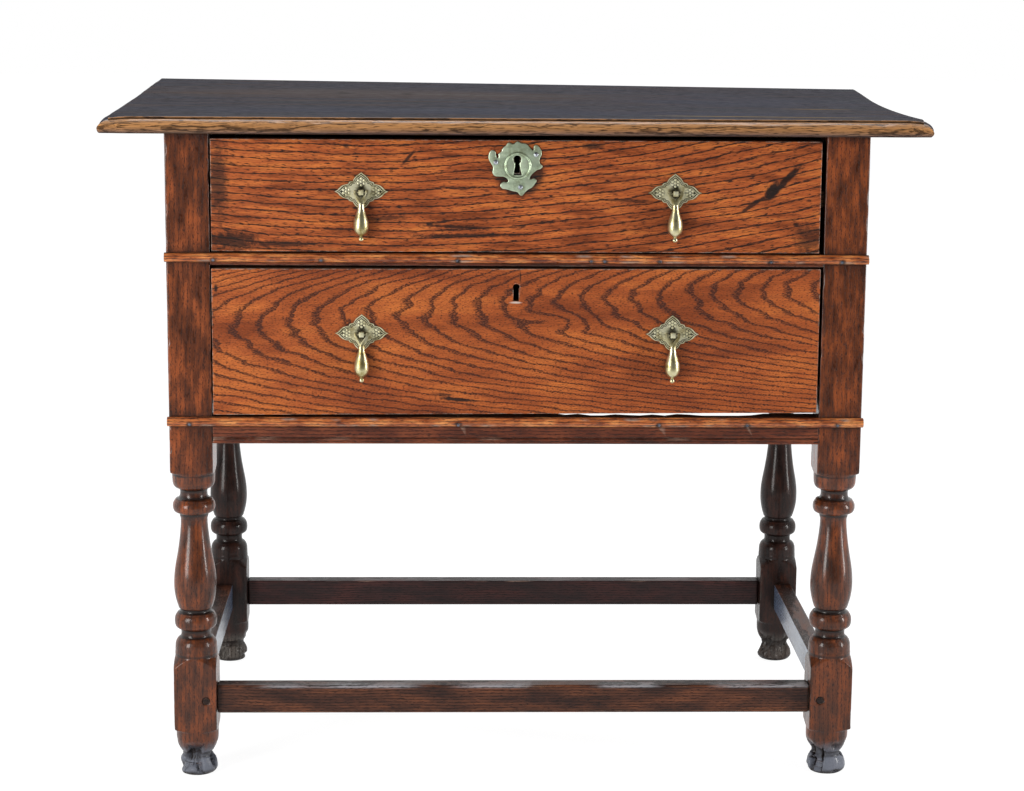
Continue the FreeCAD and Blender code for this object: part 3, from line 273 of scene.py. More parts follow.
def oakFinish(name, **changes):
    look = dict(plainOak, **changes)
    material = bpy.data.materials.new(name)
    tree = newTree(material)
    turn = grainTurn(look["along"], look["growth"])
    place = addNode(tree, "TexCoord").outputs["Object"]
    turned = addNode(tree, "Mapping", {"Vector": place, "Location": -(turn @ Vector(look["middle"])),
                                       "Rotation": turn.to_euler(), "Scale": (1000, 1000, 1000)})
    along, across, depth = addNode(tree, "SeparateXYZ", {0: turned}).outputs

    # rings: a long slow waver, the climb of the grain, then nested contours about the middle
    slow = grainNoise(tree, turned, look["waverLength"], look["waverWidth"], 2.0, 0.5)
    sway = addMath(tree, "SUBTRACT", slow, 0.5)
    climb = addMath(tree, "MULTIPLY_ADD", along, look["curl"], look["tilt"])
    lifted = addMath(tree, "MULTIPLY_ADD", along, climb, across)
    height = addMath(tree, "MULTIPLY_ADD", sway, look["waver"], lifted)
    above = addMath(tree, "GREATER_THAN", height, 0.0)
    rate = addMath(tree, "MULTIPLY_ADD", above, look["ringsAbove"] - look["ringsBelow"], look["ringsBelow"])
    steep = addMath(tree, "MULTIPLY", height, rate)
    away = addMath(tree, "SQRT", addMath(tree, "MULTIPLY_ADD", steep, steep, look["rounding"] ** 2))
    uneven = grainNoise(tree, turned, look["unevenLength"], look["unevenWidth"], 3.0, 0.6)
    count = addMath(tree, "MULTIPLY_ADD", uneven, look["uneven"], away)
    count = addMath(tree, "MULTIPLY_ADD", along, look["ringsAlong"], count)
    skew = addMath(tree, "MULTIPLY", height, look["twist"])
    count = addMath(tree, "MULTIPLY_ADD", along, skew, count)
    for kink in look["kinks"]:
        far = distanceFrom(tree, turned, turn, look["middle"], kink)
        count = addMath(tree, "ADD", count, addRange(tree, far, 0.0, 1.0, kink["rings"], 0.0, smooth=True))
    wide = look["bandWidth"]
    band = addRamp(tree, addMath(tree, "FRACT", count),
                   [(0.0, 1.0), (wide * 0.5, 0.85), (wide, 0.0), (0.94, 0.0), (1.0, 1.0)])

    # pores: dashes along the grain, crowded into the start of each ring.
    # Real pores are 0.3 mm wide; they are drawn three times as coarse so that they show.
    porePlace = addNode(tree, "CombineXYZ", {0: addMath(tree, "MULTIPLY", along, 1 / look["poreLength"]),
                                             1: addMath(tree, "MULTIPLY", height, 1 / look["poreWidth"]),
                                             2: addMath(tree, "MULTIPLY", depth, 1 / look["poreWidth"])})
    poreNoise = addNoise(tree, porePlace, 1.0, 2.0, 0.55)
    crowd = addMath(tree, "MULTIPLY_ADD", band, look["bandPull"], poreNoise)
    pores = addRange(tree, crowd, *look["poreEdge"], smooth=True)

    # ground tone, with fibres
    toneNoise = grainNoise(tree, turned, look["toneLength"], look["toneWidth"], 4.0, 0.6)
    tone = addRamp(tree, toneNoise, [(0.34, look["deep"]), (0.5, look["mid"]), (0.66, look["light"])])
    fibreNoise = addNoise(tree, addVector(tree, "MULTIPLY", porePlace, (0.3, 2.2, 2.2)), 0.5, 1.0)
    fibre = addRange(tree, fibreNoise, 0.3, 0.7, 1 - look["fibre"], 1 + look["fibre"])
    rub = addNode(tree, "Attribute", attribute_name="worn").outputs["Fac"]
    ground = addMix(tree, rub, addVector(tree, "SCALE", tone, fibre),
                    addVector(tree, "SCALE", hexToLinear(look["rubbed"])[:3], fibre))
    ringShade = addMath(tree, "MULTIPLY", band, look["bandTone"])
    poreShade = addMath(tree, "MULTIPLY", pores, look["poreDepth"])
    colour = addMix(tree, addMath(tree, "MAXIMUM", ringShade, poreShade), ground, hexToLinear(look["pore"]))

    # scars, stains and knots, each a soft stroke; a few strokes are painted shadow, painted shade and painted
    # reflection, marked where they are listed
    breakNoise = addNoise(tree, turned, 0.16, 4.0, 0.7)
    for mark in look["marks"]:
        ragged = mark.get("ragged", 1.2)
        far = distanceFrom(tree, turned, turn, look["middle"], mark)
        torn = addMath(tree, "MULTIPLY_ADD", breakNoise, ragged, far)
        edge = 0.5 * ragged
        fade = addRange(tree, torn, edge + mark.get("core", 0.3), edge + 1.0, mark["depth"], 0.0, smooth=True)
        colour = addMix(tree, fade, colour, hexToLinear(mark.get("tone", look["markTone"])))

    # edges rubbed pale, with a painted highlight; grime and painted shade in the corners
    straight = addNode(tree, "NewGeometry").outputs["Normal"]
    rounded = addNode(tree, "Bevel", {"Radius": look["wornReach"]}, samples=4)
    agree = addVector(tree, "DOT_PRODUCT", straight, rounded).outputs["Value"]
    bend = addRange(tree, agree, 0.985, 0.9, 0.0, look["wornDepth"])
    edgeShare = addMath(tree, "MULTIPLY", bend, addRange(tree, breakNoise, 0.42, 0.58))
    colour = addMix(tree, edgeShare, colour, hexToLinear(look["worn"]))
    colour = addGrime(tree, look, colour)[1]
    rough = addRange(tree, toneNoise, 0.35, 0.65, *look["gloss"])
    rough = addMath(tree, "MULTIPLY_ADD", pores, 0.22, rough, clamp=True)

    # faces that were never waxed are dusty and dry
    bare = look["bare"]
    if bare:
        side = addNode(tree, "SeparateXYZ", {0: place}).outputs[bare["axis"]]
        inside = addMath(tree, bare["test"], side, bare["at"] / 1000)
        colour = addMix(tree, inside, colour, addMix(tree, 0.35, hexToLinear(bare["tone"]), colour))
        rough = addMath(tree, "MULTIPLY_ADD", inside, 0.35, rough, clamp=True)
    surface = addMath(tree, "MULTIPLY_ADD", pores, -1.0, fibreNoise)
    relief = addNode(tree, "Bump", {"Strength": 0.7, "Distance": look["relief"], "Height": surface})
    coat = look["coat"]
    if look["wornCoat"]:
        coat = addMath(tree, "MULTIPLY_ADD", rub, look["wornCoat"], look["coat"])
    shader = addNode(tree, "BsdfPrincipled", {
        "Base Color": colour, "Roughness": rough, "Normal": relief, "IOR": 1.5, "Coat Weight": coat,
        "Coat Roughness": look["coatRoughness"], "Specular IOR Level": look["specular"]})
    addNode(tree, "OutputMaterial", {"Surface": shader})
    return material


# a mark on an upright face, its place and half size in mm
def stroke(across, up, size, depth, **more):
    return {"at": (across, 0, up), "size": size, "depth": depth, **more}


drawerBare = {"axis": 1, "test": "GREATER_THAN", "at": -247.0, "tone": "#7A5A3E"}
# greyed top oak; its blue cast is partly a painted sheen of cool light
topOak = oakFinish(
    "oldWaxedTopOak", growth="y", middle=(60, -120, 760), ringsAlong=0.004, ringsAbove=0.13, ringsBelow=0.15,
    light="#5A4C46", mid="#383642", deep="#171822", pore="#0B090C", worn="#A07A56", wornDepth=0.3, wornReach=0.0025,
    rubbed="#B37E4C", poreLength=14.0, poreWidth=0.95, poreEdge=(0.54, 0.63), fibre=0.3, waver=9.0,
    gloss=(0.5, 0.7), specular=0.05, wornCoat=0.8, toneLength=260.0, toneWidth=15.0, bandWidth=0.16, bandTone=0.4,
    bandPull=0.16, bare={"axis": 2, "test": "LESS_THAN", "at": 747.0, "tone": "#4A3424"},
    marks=[{"at": (-170, 90, 764), "size": (400, 95), "depth": 0.4, "ragged": 1.0, "tone": "#5A473B"},
           # these two blue strokes are painted reflection of the light on the top
           {"at": (60, -165, 764), "size": (640, 70), "depth": 0.42, "ragged": 0.9, "tone": "#31364A"},
           {"at": (290, 60, 764), "size": (230, 120), "depth": 0.32, "ragged": 1.0, "tone": "#35384A"},
           {"at": (-206, 95, 764), "size": (17, 15), "depth": 0.95},
           {"at": (-128, 92, 764), "size": (10, 11), "depth": 0.9},
           {"at": (-390, -50, 764), "size": (60, 5), "depth": 0.7, "ragged": 0.8},
           {"at": (275, -205, 764), "size": (150, 5), "depth": 0.9, "ragged": 0.4, "core": 0.6, "tone": "#A5854A"},
           {"at": (365, -42, 764), "size": (52, 5.5), "depth": 0.7, "ragged": 0.4, "core": 0.6, "tone": "#8C6E3C"}])
legLook = {"along": "z", "growth": "x", "middle": (-330, 0, 300), "ringsAlong": 0.006, "poreLength": 3.6,
           "poreWidth": 0.75, "bandTone": 0.1, "bandPull": 0.12, "toneLength": 34.0, "toneWidth": 11.0,
           "gloss": (0.26, 0.46), "coat": 0.65, "wornCoat": -0.6, "coatRoughness": 0.17, "specular": 0.2,
           "dirtReach": 0.01, "dirtRange": (0.92, 0.5), "dirtDepth": 0.95, "fibre": 0.1}
# the feet are greyed by damp, with a painted bluish sheen of the floor's light
footStains = [stroke(across, 8, (36, 70), 0.85, ragged=0.5, core=0.4, tone="#767B87")
              for across in (-367.5, 367.5)]
legOak = oakFinish("darkVarnishedLegOak", light="#92471C", mid="#653013", deep="#3F1C0B", pore="#160A07",
                   worn="#B08C7E", wornDepth=0.6, rubbed="#33231A", marks=footStains, **legLook)
# the back legs are a darker copy of the leg oak: painted shade where they stand back in shadow
backLegOak = oakFinish("smokedBackLegOak", light="#3B2018", mid="#281611", deep="#180D0B", pore="#0A0504",
                       worn="#57443C", wornDepth=0.4, rubbed="#6C6660",
                       **{**legLook, "coat": 0.3, "wornCoat": -0.25, "specular": 0.12})
frameLook = {"light": "#7E3F22", "mid": "#602C18", "deep": "#3F1D11", "pore": "#170A07", "toneLength": 60.0,
             "toneWidth": 16.0}
frameOakX = oakFinish("waxedRailOak", ringsAbove=0.25, ringsBelow=0.25, **frameLook)
sideLook = {**frameLook, "light": "#6B3620", "mid": "#512717", "deep": "#371A10", "bandTone": 0.2,
            "toneLength": 140.0, "toneWidth": 12.0}
frameOakY = oakFinish("waxedSideOak", along="y", growth="z", middle=(0, 0, 560), ringsAlong=0.01, ringsAbove=0.12,
                      ringsBelow=0.14, **sideLook)
# the back frame is a darker copy of the side oak
backFrameOak = oakFinish("smokedBackOak", middle=(0, 0, 520), ringsAlong=0.008, ringsAbove=0.16, ringsBelow=0.12,
                         **{**sideLook, "light": "#5A2F1E", "mid": "#442316", "deep": "#2E1710"})
stretcherLook = {"light": "#6C3E27", "mid": "#4E2C1D", "deep": "#321A12", "pore": "#100706", "ringsAbove": 0.3,
                 "ringsBelow": 0.3, "coat": 0.2, "coatRoughness": 0.16, "specular": 0.2, "toneLength": 60.0,
                 "toneWidth": 14.0}
# its rubbed tone, on the front upper edge, is wear with a painted highlight
stretcherOakX = oakFinish("darkStretcherOak", rubbed="#A9A9AF", worn="#B08A6A", wornDepth=0.5, wornCoat=0.5,
                          **stretcherLook)
# its rubbed tone is a painted bluish reflection, laid on the inner faces
stretcherOakY = oakFinish("darkSideStretcherOak", along="y", worn="#9C8878", wornDepth=0.4, rubbed="#5F7390",
                          wornCoat=0.7, **stretcherLook)
# darker copy of the stretcher oak: painted shade for the back stretcher
backStretcherOak = oakFinish("smokedBackStretcherOak", **{**stretcherLook, "light": "#43221F", "mid": "#331A19",
                                                          "deep": "#201011", "worn": "#5E4640"})
upperFrontOak = oakFinish(
    "amberUpperFrontOak", middle=(0, 0, 560), ringsAbove=0.112, ringsBelow=0.112, tilt=-0.055, curl=-0.00024,
    twist=-0.00003, bandWidth=0.2, bandPull=0.21, bandTone=0.42, poreLength=8.0, poreWidth=0.95, poreEdge=(0.57, 0.64),
    poreDepth=0.94, uneven=1.1, unevenLength=85.0, unevenWidth=24.0, waver=6.0, fibre=0.24, toneLength=60.0,
    toneWidth=9.0, light="#C26A2C", mid="#A65223", deep="#7C3A18", pore="#1A0B07", worn="#D9C3B2", wornDepth=0.75,
    bare=drawerBare, marks=[
        stroke(297, 694, (34, 5), 0.95, angle=47, ragged=0.9, core=0.45),
        stroke(283, 683, (17, 8), 0.98, angle=55, ragged=0.8, core=0.5),
        stroke(262, 668, (26, 3.2), 0.9, angle=34, ragged=0.9, core=0.45),
        stroke(-333, 690, (16, 60), 0.75, ragged=1.6),
        stroke(-318, 626, (40, 16), 0.85, ragged=1.6),
        stroke(-262, 622, (52, 5), 0.8, ragged=1.4),
        stroke(326, 630, (22, 26), 0.7, ragged=1.6),
        stroke(82, 732, (16, 5), 0.85),
        stroke(-191, 731, (5, 4), 0.8),
        stroke(-122, 719, (17, 2.6), 0.9, angle=48, ragged=0.6),
        stroke(122, 672, (44, 3), 0.7, angle=-2, ragged=0.9),
        stroke(-72, 642, (60, 3), 0.9, angle=-3, ragged=1.5),
        stroke(-60, 632, (92, 3.4), 0.9, angle=1, ragged=1.7),
        stroke(-150, 651, (40, 4), 0.7, angle=4, ragged=1.7),
        stroke(311, 646, (5, 3), 0.85),
        # painted shadow with grime round the escutcheon, and painted shade in the keyhole
        stroke(1, 705, (31, 33), 0.85, ragged=0.3, core=0.75, tone="#0C0706"),
        stroke(-1.7, 702, (6, 13), 1.0, ragged=0.2, tone="#080504")])
lowerFrontOak = oakFinish(
    "amberLowerFrontOak", middle=(0, 0, 556), tilt=-0.03, ringsAlong=-0.034, twist=-0.0001, ringsAbove=0.34,
    ringsBelow=0.235, rounding=30.0, bandWidth=0.32, bandPull=0.17, bandTone=0.3, poreLength=3.0, poreWidth=0.75,
    poreEdge=(0.56, 0.64), poreDepth=0.9, uneven=1.1, unevenLength=46.0, unevenWidth=13.0, light="#BE662A",
    mid="#A65221", deep="#843D19", pore="#2C1109", worn="#D9C3B2", wornDepth=0.75,
    fibre=0.22, kinks=[{"at": (48, 0, 537), "size": (62, 17), "rings": 0.95},
                      {"at": (-110, 0, 552), "size": (50, 14), "rings": 0.4},
                      {"at": (200, 0, 560), "size": (50, 12), "rings": 0.4}],
    bare=drawerBare, marks=[
        stroke(-337, 572, (3, 7), 0.95, ragged=0.6),
        stroke(-67, 446, (24, 2.6), 0.95, angle=-5, core=0.5),
        stroke(-82, 452, (16, 2), 0.8, angle=-5),
        stroke(-1.8, 556.8, (9, 1.6), 0.9, ragged=0.3, tone="#CFC0B4"),
        stroke(3, 586, (1.3, 9), 0.8, ragged=0.3)])
# iron has stained the oak black about each nail; (across, up) in mm
nailStains = [stroke(across, up, (5.5, 5), 0.92, ragged=1.3, tone="#120D10")
              for across, up in ((-339, 604), (-219, 604), (-67, 604), (82, 604), (97, 604), (159, 604), (283, 604),
                                 (363, 604), (-368, 418), (-66, 418), (161, 418), (261, 418), (364, 418))]
mouldingOak = oakFinish("rubbedMouldingOak", marks=nailStains, light="#DB8C4C", mid="#B5622F", deep="#6B2D13",
                        pore="#1C0C07", worn="#D0A68A", wornDepth=0.4, ringsAbove=0.3, ringsBelow=0.3, coat=0.5,
                        gloss=(0.25, 0.4), toneLength=30.0, toneWidth=8.0)
pegOak = oakFinish("darkPegOak", along="y", growth="z", light="#2E1810", mid="#21110C", deep="#160B08",
                   pore="#0E0706", gloss=(0.5, 0.7))
topPegOak = oakFinish("greyedPegOak", along="z", growth="x", light="#463D40", mid="#342C30", deep="#221B1E",
                      pore="#100C0E", gloss=(0.55, 0.7), specular=0.1, dirtDepth=0.4)
bareLook = {"light": "#8A6A4A", "mid": "#745538", "deep": "#5C412A", "pore": "#33221A", "gloss": (0.62, 0.8),
            "specular": 0.3, "worn": "#9C8464", "rubbed": "#8A6A4A"}
insideOakX = oakFinish("bareInsideOak", **bareLook)
insideOakY = oakFinish("bareRunnerOak", along="y", **bareLook)
print("oak finishes made")


# metal finishes

def metalFinish(name, **look):
    material = bpy.data.materials.new(name)
    tree = newTree(material)
    place = addNode(tree, "TexCoord").outputs["Object"]
    cloud = addNoise(tree, place, 1 / look["patch"], 5.0, 0.65)
    tone = addRamp(tree, cloud, [(0.36, look["tarnish"]), (0.5, look["body"]), (0.68, look["bright"])])
    grain = addNoise(tree, place, 1 / look["grit"], 2.0)
    grime, colour = addGrime(tree, look, tone)
    rough = addRange(tree, cloud, 0.35, 0.65, look["gloss"][1], look["gloss"][0])
    dull = addMath(tree, "MULTIPLY_ADD", grime, 0.3, rough, clamp=True)
    relief = addNode(tree, "Bump", {"Strength": look["relief"], "Distance": 0.0001, "Height": grain})
    shader = addNode(tree, "BsdfPrincipled", {"Metallic": look["metallic"], "Base Color": colour, "Roughness": dull,
                                              "Normal": relief})
    addNode(tree, "OutputMaterial", {"Surface": shader})
    return material


# sand-cast brass, filed and rubbed, then left to tarnish: pale greenish gold with brown in the hollows
agedBrass = metalFinish(
    "agedCastBrass", patch=0.009, grit=0.0007, bright="#F6F3D8", body="#E6E2BE", tarnish="#B2A880", dirt="#1C170F",
    dirtDepth=0.7, dirtReach=0.0014, gloss=(0.48, 0.62), relief=0.15, metallic=1.0)
# the drops are the same brass, polished by hands: mirror smooth, brown where fingers do not reach
rubbedBrass = metalFinish(
    "handledDropBrass", patch=0.012, grit=0.002, bright="#EFEACB", body="#D6CD9F", tarnish="#9C8C58", dirt="#1A130B",
    dirtDepth=0.7, dirtReach=0.0012, gloss=(0.28, 0.4), relief=0.05, metallic=1.0)
# the escutcheon is the same brass cleaned more often: paler, almost silvery
paleBrass = metalFinish(
    "rubbedPaleBrass", patch=0.012, grit=0.0009, bright="#EAF7DA", body="#D4E6C8", tarnish="#ACB899", dirt="#26251A",
    dirtDepth=0.85, dirtReach=0.0018, gloss=(0.36, 0.5), relief=0.12, metallic=0.9)
# hand-forged iron nails, blackened and a little rusty
nailIron = metalFinish(
    "forgedNailIron", patch=0.004, grit=0.0006, bright="#8C94A6", body="#626878", tarnish="#2A1A12", dirt="#0C0908",
    dirtDepth=0.4, dirtReach=0.002, gloss=(0.4, 0.65), relief=0.4, metallic=0.7)
# wrought plate of the locks, scaled and dry
lockIron = metalFinish(
    "wroughtLockIron", patch=0.012, grit=0.001, bright="#4E4844", body="#393431", tarnish="#40261A", dirt="#120D0A",
    dirtDepth=0.7, dirtReach=0.004, gloss=(0.5, 0.75), relief=0.5, metallic=0.6)
# bright steel dome pins, later replacements
pinSteel = metalFinish(
    "polishedPinSteel", patch=0.003, grit=0.0005, bright="#F0F3FA", body="#CDD2DE", tarnish="#8E93A4", dirt="#17171C",
    dirtDepth=0.5, dirtReach=0.001, gloss=(0.34, 0.48), relief=0.1, metallic=1.0)
print("metal finishes made")


# boards and rails: the CAD shape with its long edges eased, then dented and chipped along them

boardLook = {"ease": 0.0009, "pitch": (0.014, 0, 0), "dent": 0.0003, "chip": 0.0006, "shortest": 0.006, "turn": 0.6,
             "plainWithin": 0, "dentScale": 22, "chipScale": 75, "chipRange": (0.28, 0.55)}
plankWear = {"ease": 0.0006, "pitch": (0.02, 0.012, 0), "dent": 0.0005, "chip": 0.0009}
beadWear = {"ease": 0.0004, "pitch": (0.007, 0, 0), "chip": 0.0009}
frontWear = {"ease": 0.001, "pitch": (0.009, 0, 0.009), "dent": 0.0005, "chip": 0.0012}
noCuts = {"pitch": (0, 0, 0)}
boardsAcross = {
    "top_plank_front": (topOak, "top_oak", {**plankWear, "pitch": (0.008, 0.015, 0), "dent": 0.0006}),
    "top_plank_back": (topOak, "top_oak", plankWear),
    "drawer_divider_rail": (frameOakX, "frame_oak", {"plainWithin": 0.016}),
    "front_bottom_rail": (frameOakX, "frame_oak", {"ease": 0.0006}),
    "bead_moulding_upper": (mouldingOak, "moulding_oak", beadWear),
    "bead_moulding_lower": (mouldingOak, "moulding_oak", beadWear),
    "back_rail_top": (backFrameOak, "frame_oak", {}),
    "back_rail_bottom": (backFrameOak, "frame_oak", {}),
    "back_panel": (backFrameOak, "frame_oak", noCuts),
    "stretcher_front": (stretcherOakX, "stretcher_oak",
                        {"ease": 0.0016, "pitch": (0.009, 0, 0.004), "dent": 0.0008, "chip": 0.0013}),
    "stretcher_back": (backStretcherOak, "stretcher_oak", {"ease": 0.0014, "dent": 0.0006}),
    "upper_drawer_front": (upperFrontOak, "drawer_front_oak", frontWear),
    "lower_drawer_front": (lowerFrontOak, "drawer_front_oak", frontWear),
    "upper_drawer_back": (insideOakX, "inside_oak", {}),
    "lower_drawer_back": (insideOakX, "inside_oak", {}),
    "upper_drawer_bottom": (insideOakX, "inside_oak", noCuts),
    "lower_drawer_bottom": (insideOakX, "inside_oak", noCuts),
}
# each of these has a left and a right
boardsDeep = {
    "side_panel": (frameOakY, "frame_oak"), "side_rail_top": (frameOakY, "frame_oak"),
    "side_rail_bottom": (frameOakY, "frame_oak"), "stretcher": (stretcherOakY, "stretcher_oak"),
    "runner_upper": (insideOakY, "inside_oak"), "runner_lower": (insideOakY, "inside_oak"),
    "upper_drawer_side": (insideOakY, "inside_oak"), "lower_drawer_side": (insideOakY, "inside_oak"),
}


def markLongEdges(mesh, look):
    weights = mesh.attributes.new("bevel_weight_edge", "FLOAT", "EDGE")
    faceNormals = {}
    for face in mesh.polygons:
        for key in face.edge_keys:
            faceNormals.setdefault(key, []).append(face.normal)
    for edge in mesh.edges:
        sides = faceNormals.get(tuple(sorted(edge.vertices)), [])
        ends = [mesh.vertices[end].co for end in edge.vertices]
        # the bolt's mortise keeps its sharp corners, so the bolt fits
        inMortise = max(abs(end.x) for end in ends) < look["plainWithin"]
        long = (ends[0] - ends[1]).length > look["shortest"]
        if len(sides) == 2 and long and not inMortise and sides[0].angle(sides[1]) > look["turn"]:
            weights.data[edge.index].value = 1.0


def wornBoard(nodeName, look):
    piece = copyOfNode(nodeName, nodeName + "_worn")
    markLongEdges(piece.data, look)
    applyModifier(piece, "BEVEL", width=look["ease"], segments=3, limit_method="WEIGHT", use_clamp_overlap=True)
    low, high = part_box(nodeName)
    editAll(piece)
    for axis, pitch in enumerate(look["pitch"]):
        cuts = int((high[axis] - low[axis]) / pitch) if pitch else 0
        for cut in range(1, cuts):
            place, way = [0, 0, 0], [0, 0, 0]
            place[axis] = low[axis] + (high[axis] - low[axis]) * cut / cuts
            way[axis] = 1
            bpy.ops.mesh.select_all(action="SELECT")
            bpy.ops.mesh.bisect(plane_co=place, plane_no=way)
    endEdit()
    places, normals = pointsOf(piece)
    corner = smoothStep(1 - np.abs(normals).max(axis=1), 0.02, 0.2)
    slowWear = np.clip(noiseAt(places, look["dentScale"], look["seed"]) + 0.25, 0, 1)
    chips = smoothStep(noiseAt(places, look["chipScale"], look["seed"] + 9), *look["chipRange"])
    push = corner * (look["dent"] * slowWear + look["chip"] * chips)
    movePoints(piece, places - normals * push[:, None])
    storeMask(piece, "worn", corner * chips * 1.2)
    smoothShade(piece)
    applyModifier(piece, "WEIGHTED_NORMAL", keep_sharp=True)
    return piece


# metres. dish: how deep at the left, and how much deeper at the right; corner: how far the front corners
# have gone down, in from the left, in from the right, and back; step: where the moulding's flat ends.
# Pairs are where a change starts and where it is full.
topWear = {"under": 0.746, "thick": 0.018, "dish": (0.0015, 0.0034), "dishAcross": (-0.1, 0.45), "halfDepth": 0.27,
           "corner": (0.003, 0.0015, 0.0065, 0.003), "cornerAcross": (0.425, 0.464), "cornerDeep": (-0.275, -0.235),
           "backEnd": 0.007, "backAcross": (0.44, 0.452), "backDeep": (-0.05, 0.28), "backUp": (0.756, 0.762),
           "noseFront": (-0.268, -0.2665), "noseUnder": (0.7462, 0.749), "noseUp": (0.748, 0.756),
           "step": -0.2682, "stepFlat": (0.0002, 0.0011), "stepTop": (0.7618, 0.7626), "stepUnder": 0.76}


def sinkTop(piece):
    # the boards have dished, most towards the right end
    places = pointsOf(piece)[0]
    x, y, z = places.T.copy()
    left, more = topWear["dish"]
    dish = (left + more * smoothStep(x, *topWear["dishAcross"])) * np.clip(1 - (y / topWear["halfDepth"]) ** 2, 0, 1)
    places[:, 2] = z - dish * np.clip((z - topWear["under"]) / topWear["thick"], 0, 1)
    movePoints(piece, places)


def wearTop(piece):
    # the front corners are rubbed round
    sinkTop(piece)
    places = pointsOf(piece)[0]
    x, y, z = places.T.copy()
    top = np.clip((z - topWear["under"]) / topWear["thick"], 0, 1)
    corner = smoothStep(np.abs(x), *topWear["cornerAcross"]) * (1 - smoothStep(y, *topWear["cornerDeep"]))
    down, left, right, backwards = topWear["corner"]
    places[:, 2] -= corner * down * top
    places[:, 0] -= np.sign(x) * corner * np.where(x > 0, right, left)
    places[:, 1] += corner * backwards
    back = smoothStep(x, *topWear["backAcross"]) * smoothStep(y, *topWear["backDeep"])
    back *= smoothStep(z, *topWear["backUp"])
    places[:, 0] += back * topWear["backEnd"]
    movePoints(piece, places)
    # the nose is rubbed pale, with a painted highlight along its top and painted shade lower down
    nose = (1 - smoothStep(y, *topWear["noseFront"])) * smoothStep(z, *topWear["noseUnder"])
    storeMask(piece, "worn", nose * (0.35 + 0.65 * smoothStep(z, *topWear["noseUp"])))
    # painted shade line at the foot of the moulding's step
    foot = 1 - smoothStep(np.abs(y - topWear["step"]), *topWear["stepFlat"])
    foot *= 1 - smoothStep(z, *topWear["stepTop"])
    storeMask(piece, "hollow", 0.85 * foot * (z > topWear["stepUnder"]))


# metres: the slit over the rail opens and closes between these places, and how high the rail stands beside it
slitLook = {"opens": (0.050, 0.060), "closes": (0.262, 0.287), "least": 0.0036, "more": 0.0026,
            "behind": (-0.245, -0.232), "above": 0.4195}


def raiseRail(piece):
    # the hewn top of the rail stands higher at both ends than in the middle
    places = pointsOf(piece)[0]
    x, y, z = places.T
    ends = 1 - smoothStep(x, *slitLook["opens"]) * (1 - smoothStep(x, *slitLook["closes"]))
    hewn = smoothStep(noiseAt(places, 75, 3, (1, 0, 0)), 0.05, 0.3)
    rise = slitLook["least"] + slitLook["more"] * np.maximum(ends, 0.7 * hewn)
    places[:, 2] = z + rise * smoothStep(y, *slitLook["behind"]) * (z > slitLook["above"])
    movePoints(piece, places)


def rubStretcher(piece):
    # the front upper edge is pale: rubbed by shoes, with a painted highlight where the edge catches the light
    places = pointsOf(piece)[0]
    edge = smoothStep(places[:, 2], 0.1045, 0.107) * (1 - smoothStep(places[:, 1], -0.243, -0.236))
    storeMask(piece, "worn", edge * smoothStep(noiseAt(places, 60, 5, (0.25, 1, 1)), -0.2, 0.25))


def bloomStretcher(piece, side):
    # painted bluish reflection on the side that faces the middle of the table
    places, normals = pointsOf(piece)
    patches = 0.75 + 0.25 * smoothStep(noiseAt(places, 40, 6, (1, 0.3, 1)), -0.2, 0.2)
    storeMask(piece, "worn", smoothStep(-side * normals[:, 0], 0.6, 0.95) * patches)


seed = 1
for nodeName, (material, slotName, changes) in boardsAcross.items():
    seed += 1
    board = wornBoard(nodeName, {**boardLook, **changes, "seed": seed})
    if nodeName.startswith("top_plank"):
        wearTop(board)
    if nodeName == "front_bottom_rail":
        raiseRail(board)
    if nodeName == "stretcher_front":
        rubStretcher(board)
    dress(board, nodeName, material)
for stem, (material, slotName) in boardsDeep.items():
    for side, sideName in ((-1, "left"), (1, "right")):
        seed += 1
        nodeName = f"{stem}_{sideName}"
        board = wornBoard(nodeName, {**boardLook, "pitch": (0, 0.014, 0), "seed": seed})
        if stem == "stretcher":
            bloomStretcher(board, side)
        dress(board, nodeName, material)
print("boards and rails worn")


# legs: turned and square parts softened all over, corners bruised, feet broken by damp and kicks

legShape = {
    "voxel": 0.0013, "ripple": 0.00025, "cornerChip": 0.0011, "half": 0.0245, "floorClear": 0.004,
    "footWear": (0.026, 0.044), "fadeFrom": (0.2, 0.4),
    "turned": ((0.004, 0.051), (0.147, 0.352)), "leastTurned": 0.011,
    # height and radius in mm where the lips and crevices are sharper than in the CAD
    "crisp": (((147, 24.2), (150, 24.2), (156, 23.8), (159.5, 22.6), (162, 20.8), (163, 19.6), (163.6, 18.3),
               (165, 17.4), (168, 17.0), (171, 17.2), (173, 18.0), (173.9, 20.5), (176, 23.0), (179, 24.1),
               (183, 24.4), (187, 24.0), (190, 22.8), (191.2, 21.6), (192.6, 21.2), (193.2, 18.6),
               (194.2, 17.7), (198, 18.0)),
              ((306, 16.2), (309.5, 16.9), (310.2, 19.5), (312, 22.6), (315, 24.0), (318, 24.3), (321, 24.0),
               (323.5, 22.8), (325, 21.5), (326.4, 21.2), (326.8, 18.6), (328, 17.0), (331, 15.8), (335, 15.6),
               (338, 16.2), (338.8, 18.5), (340.2, 21.2), (342.5, 23.0), (346, 24.0), (350, 24.3),
               (353.4, 24.4))),
    # the lathe leaves an arch on each face of the block, and a shallow bow under the stile; shadow is where a painted
    # shadow line runs along each
    "arch": {"zone": (0.124, 0.147), "tip": 0.141, "way": -1, "spread": 0.05, "shadow": (0.1415, 0.1445)},
    "bow": {"zone": (0.352, 0.362), "tip": 0.3574, "way": 1, "spread": 0.182, "shadow": (0.3545, 0.3568)},
    # painted shade in the turned crevices: half-millimetre steps to look about, depth where it starts and where it is
    # full, share
    "crevices": ((17, 0.0002, 0.0009, 1.0), (33, 0.0003, 0.0022, 0.6)),
}
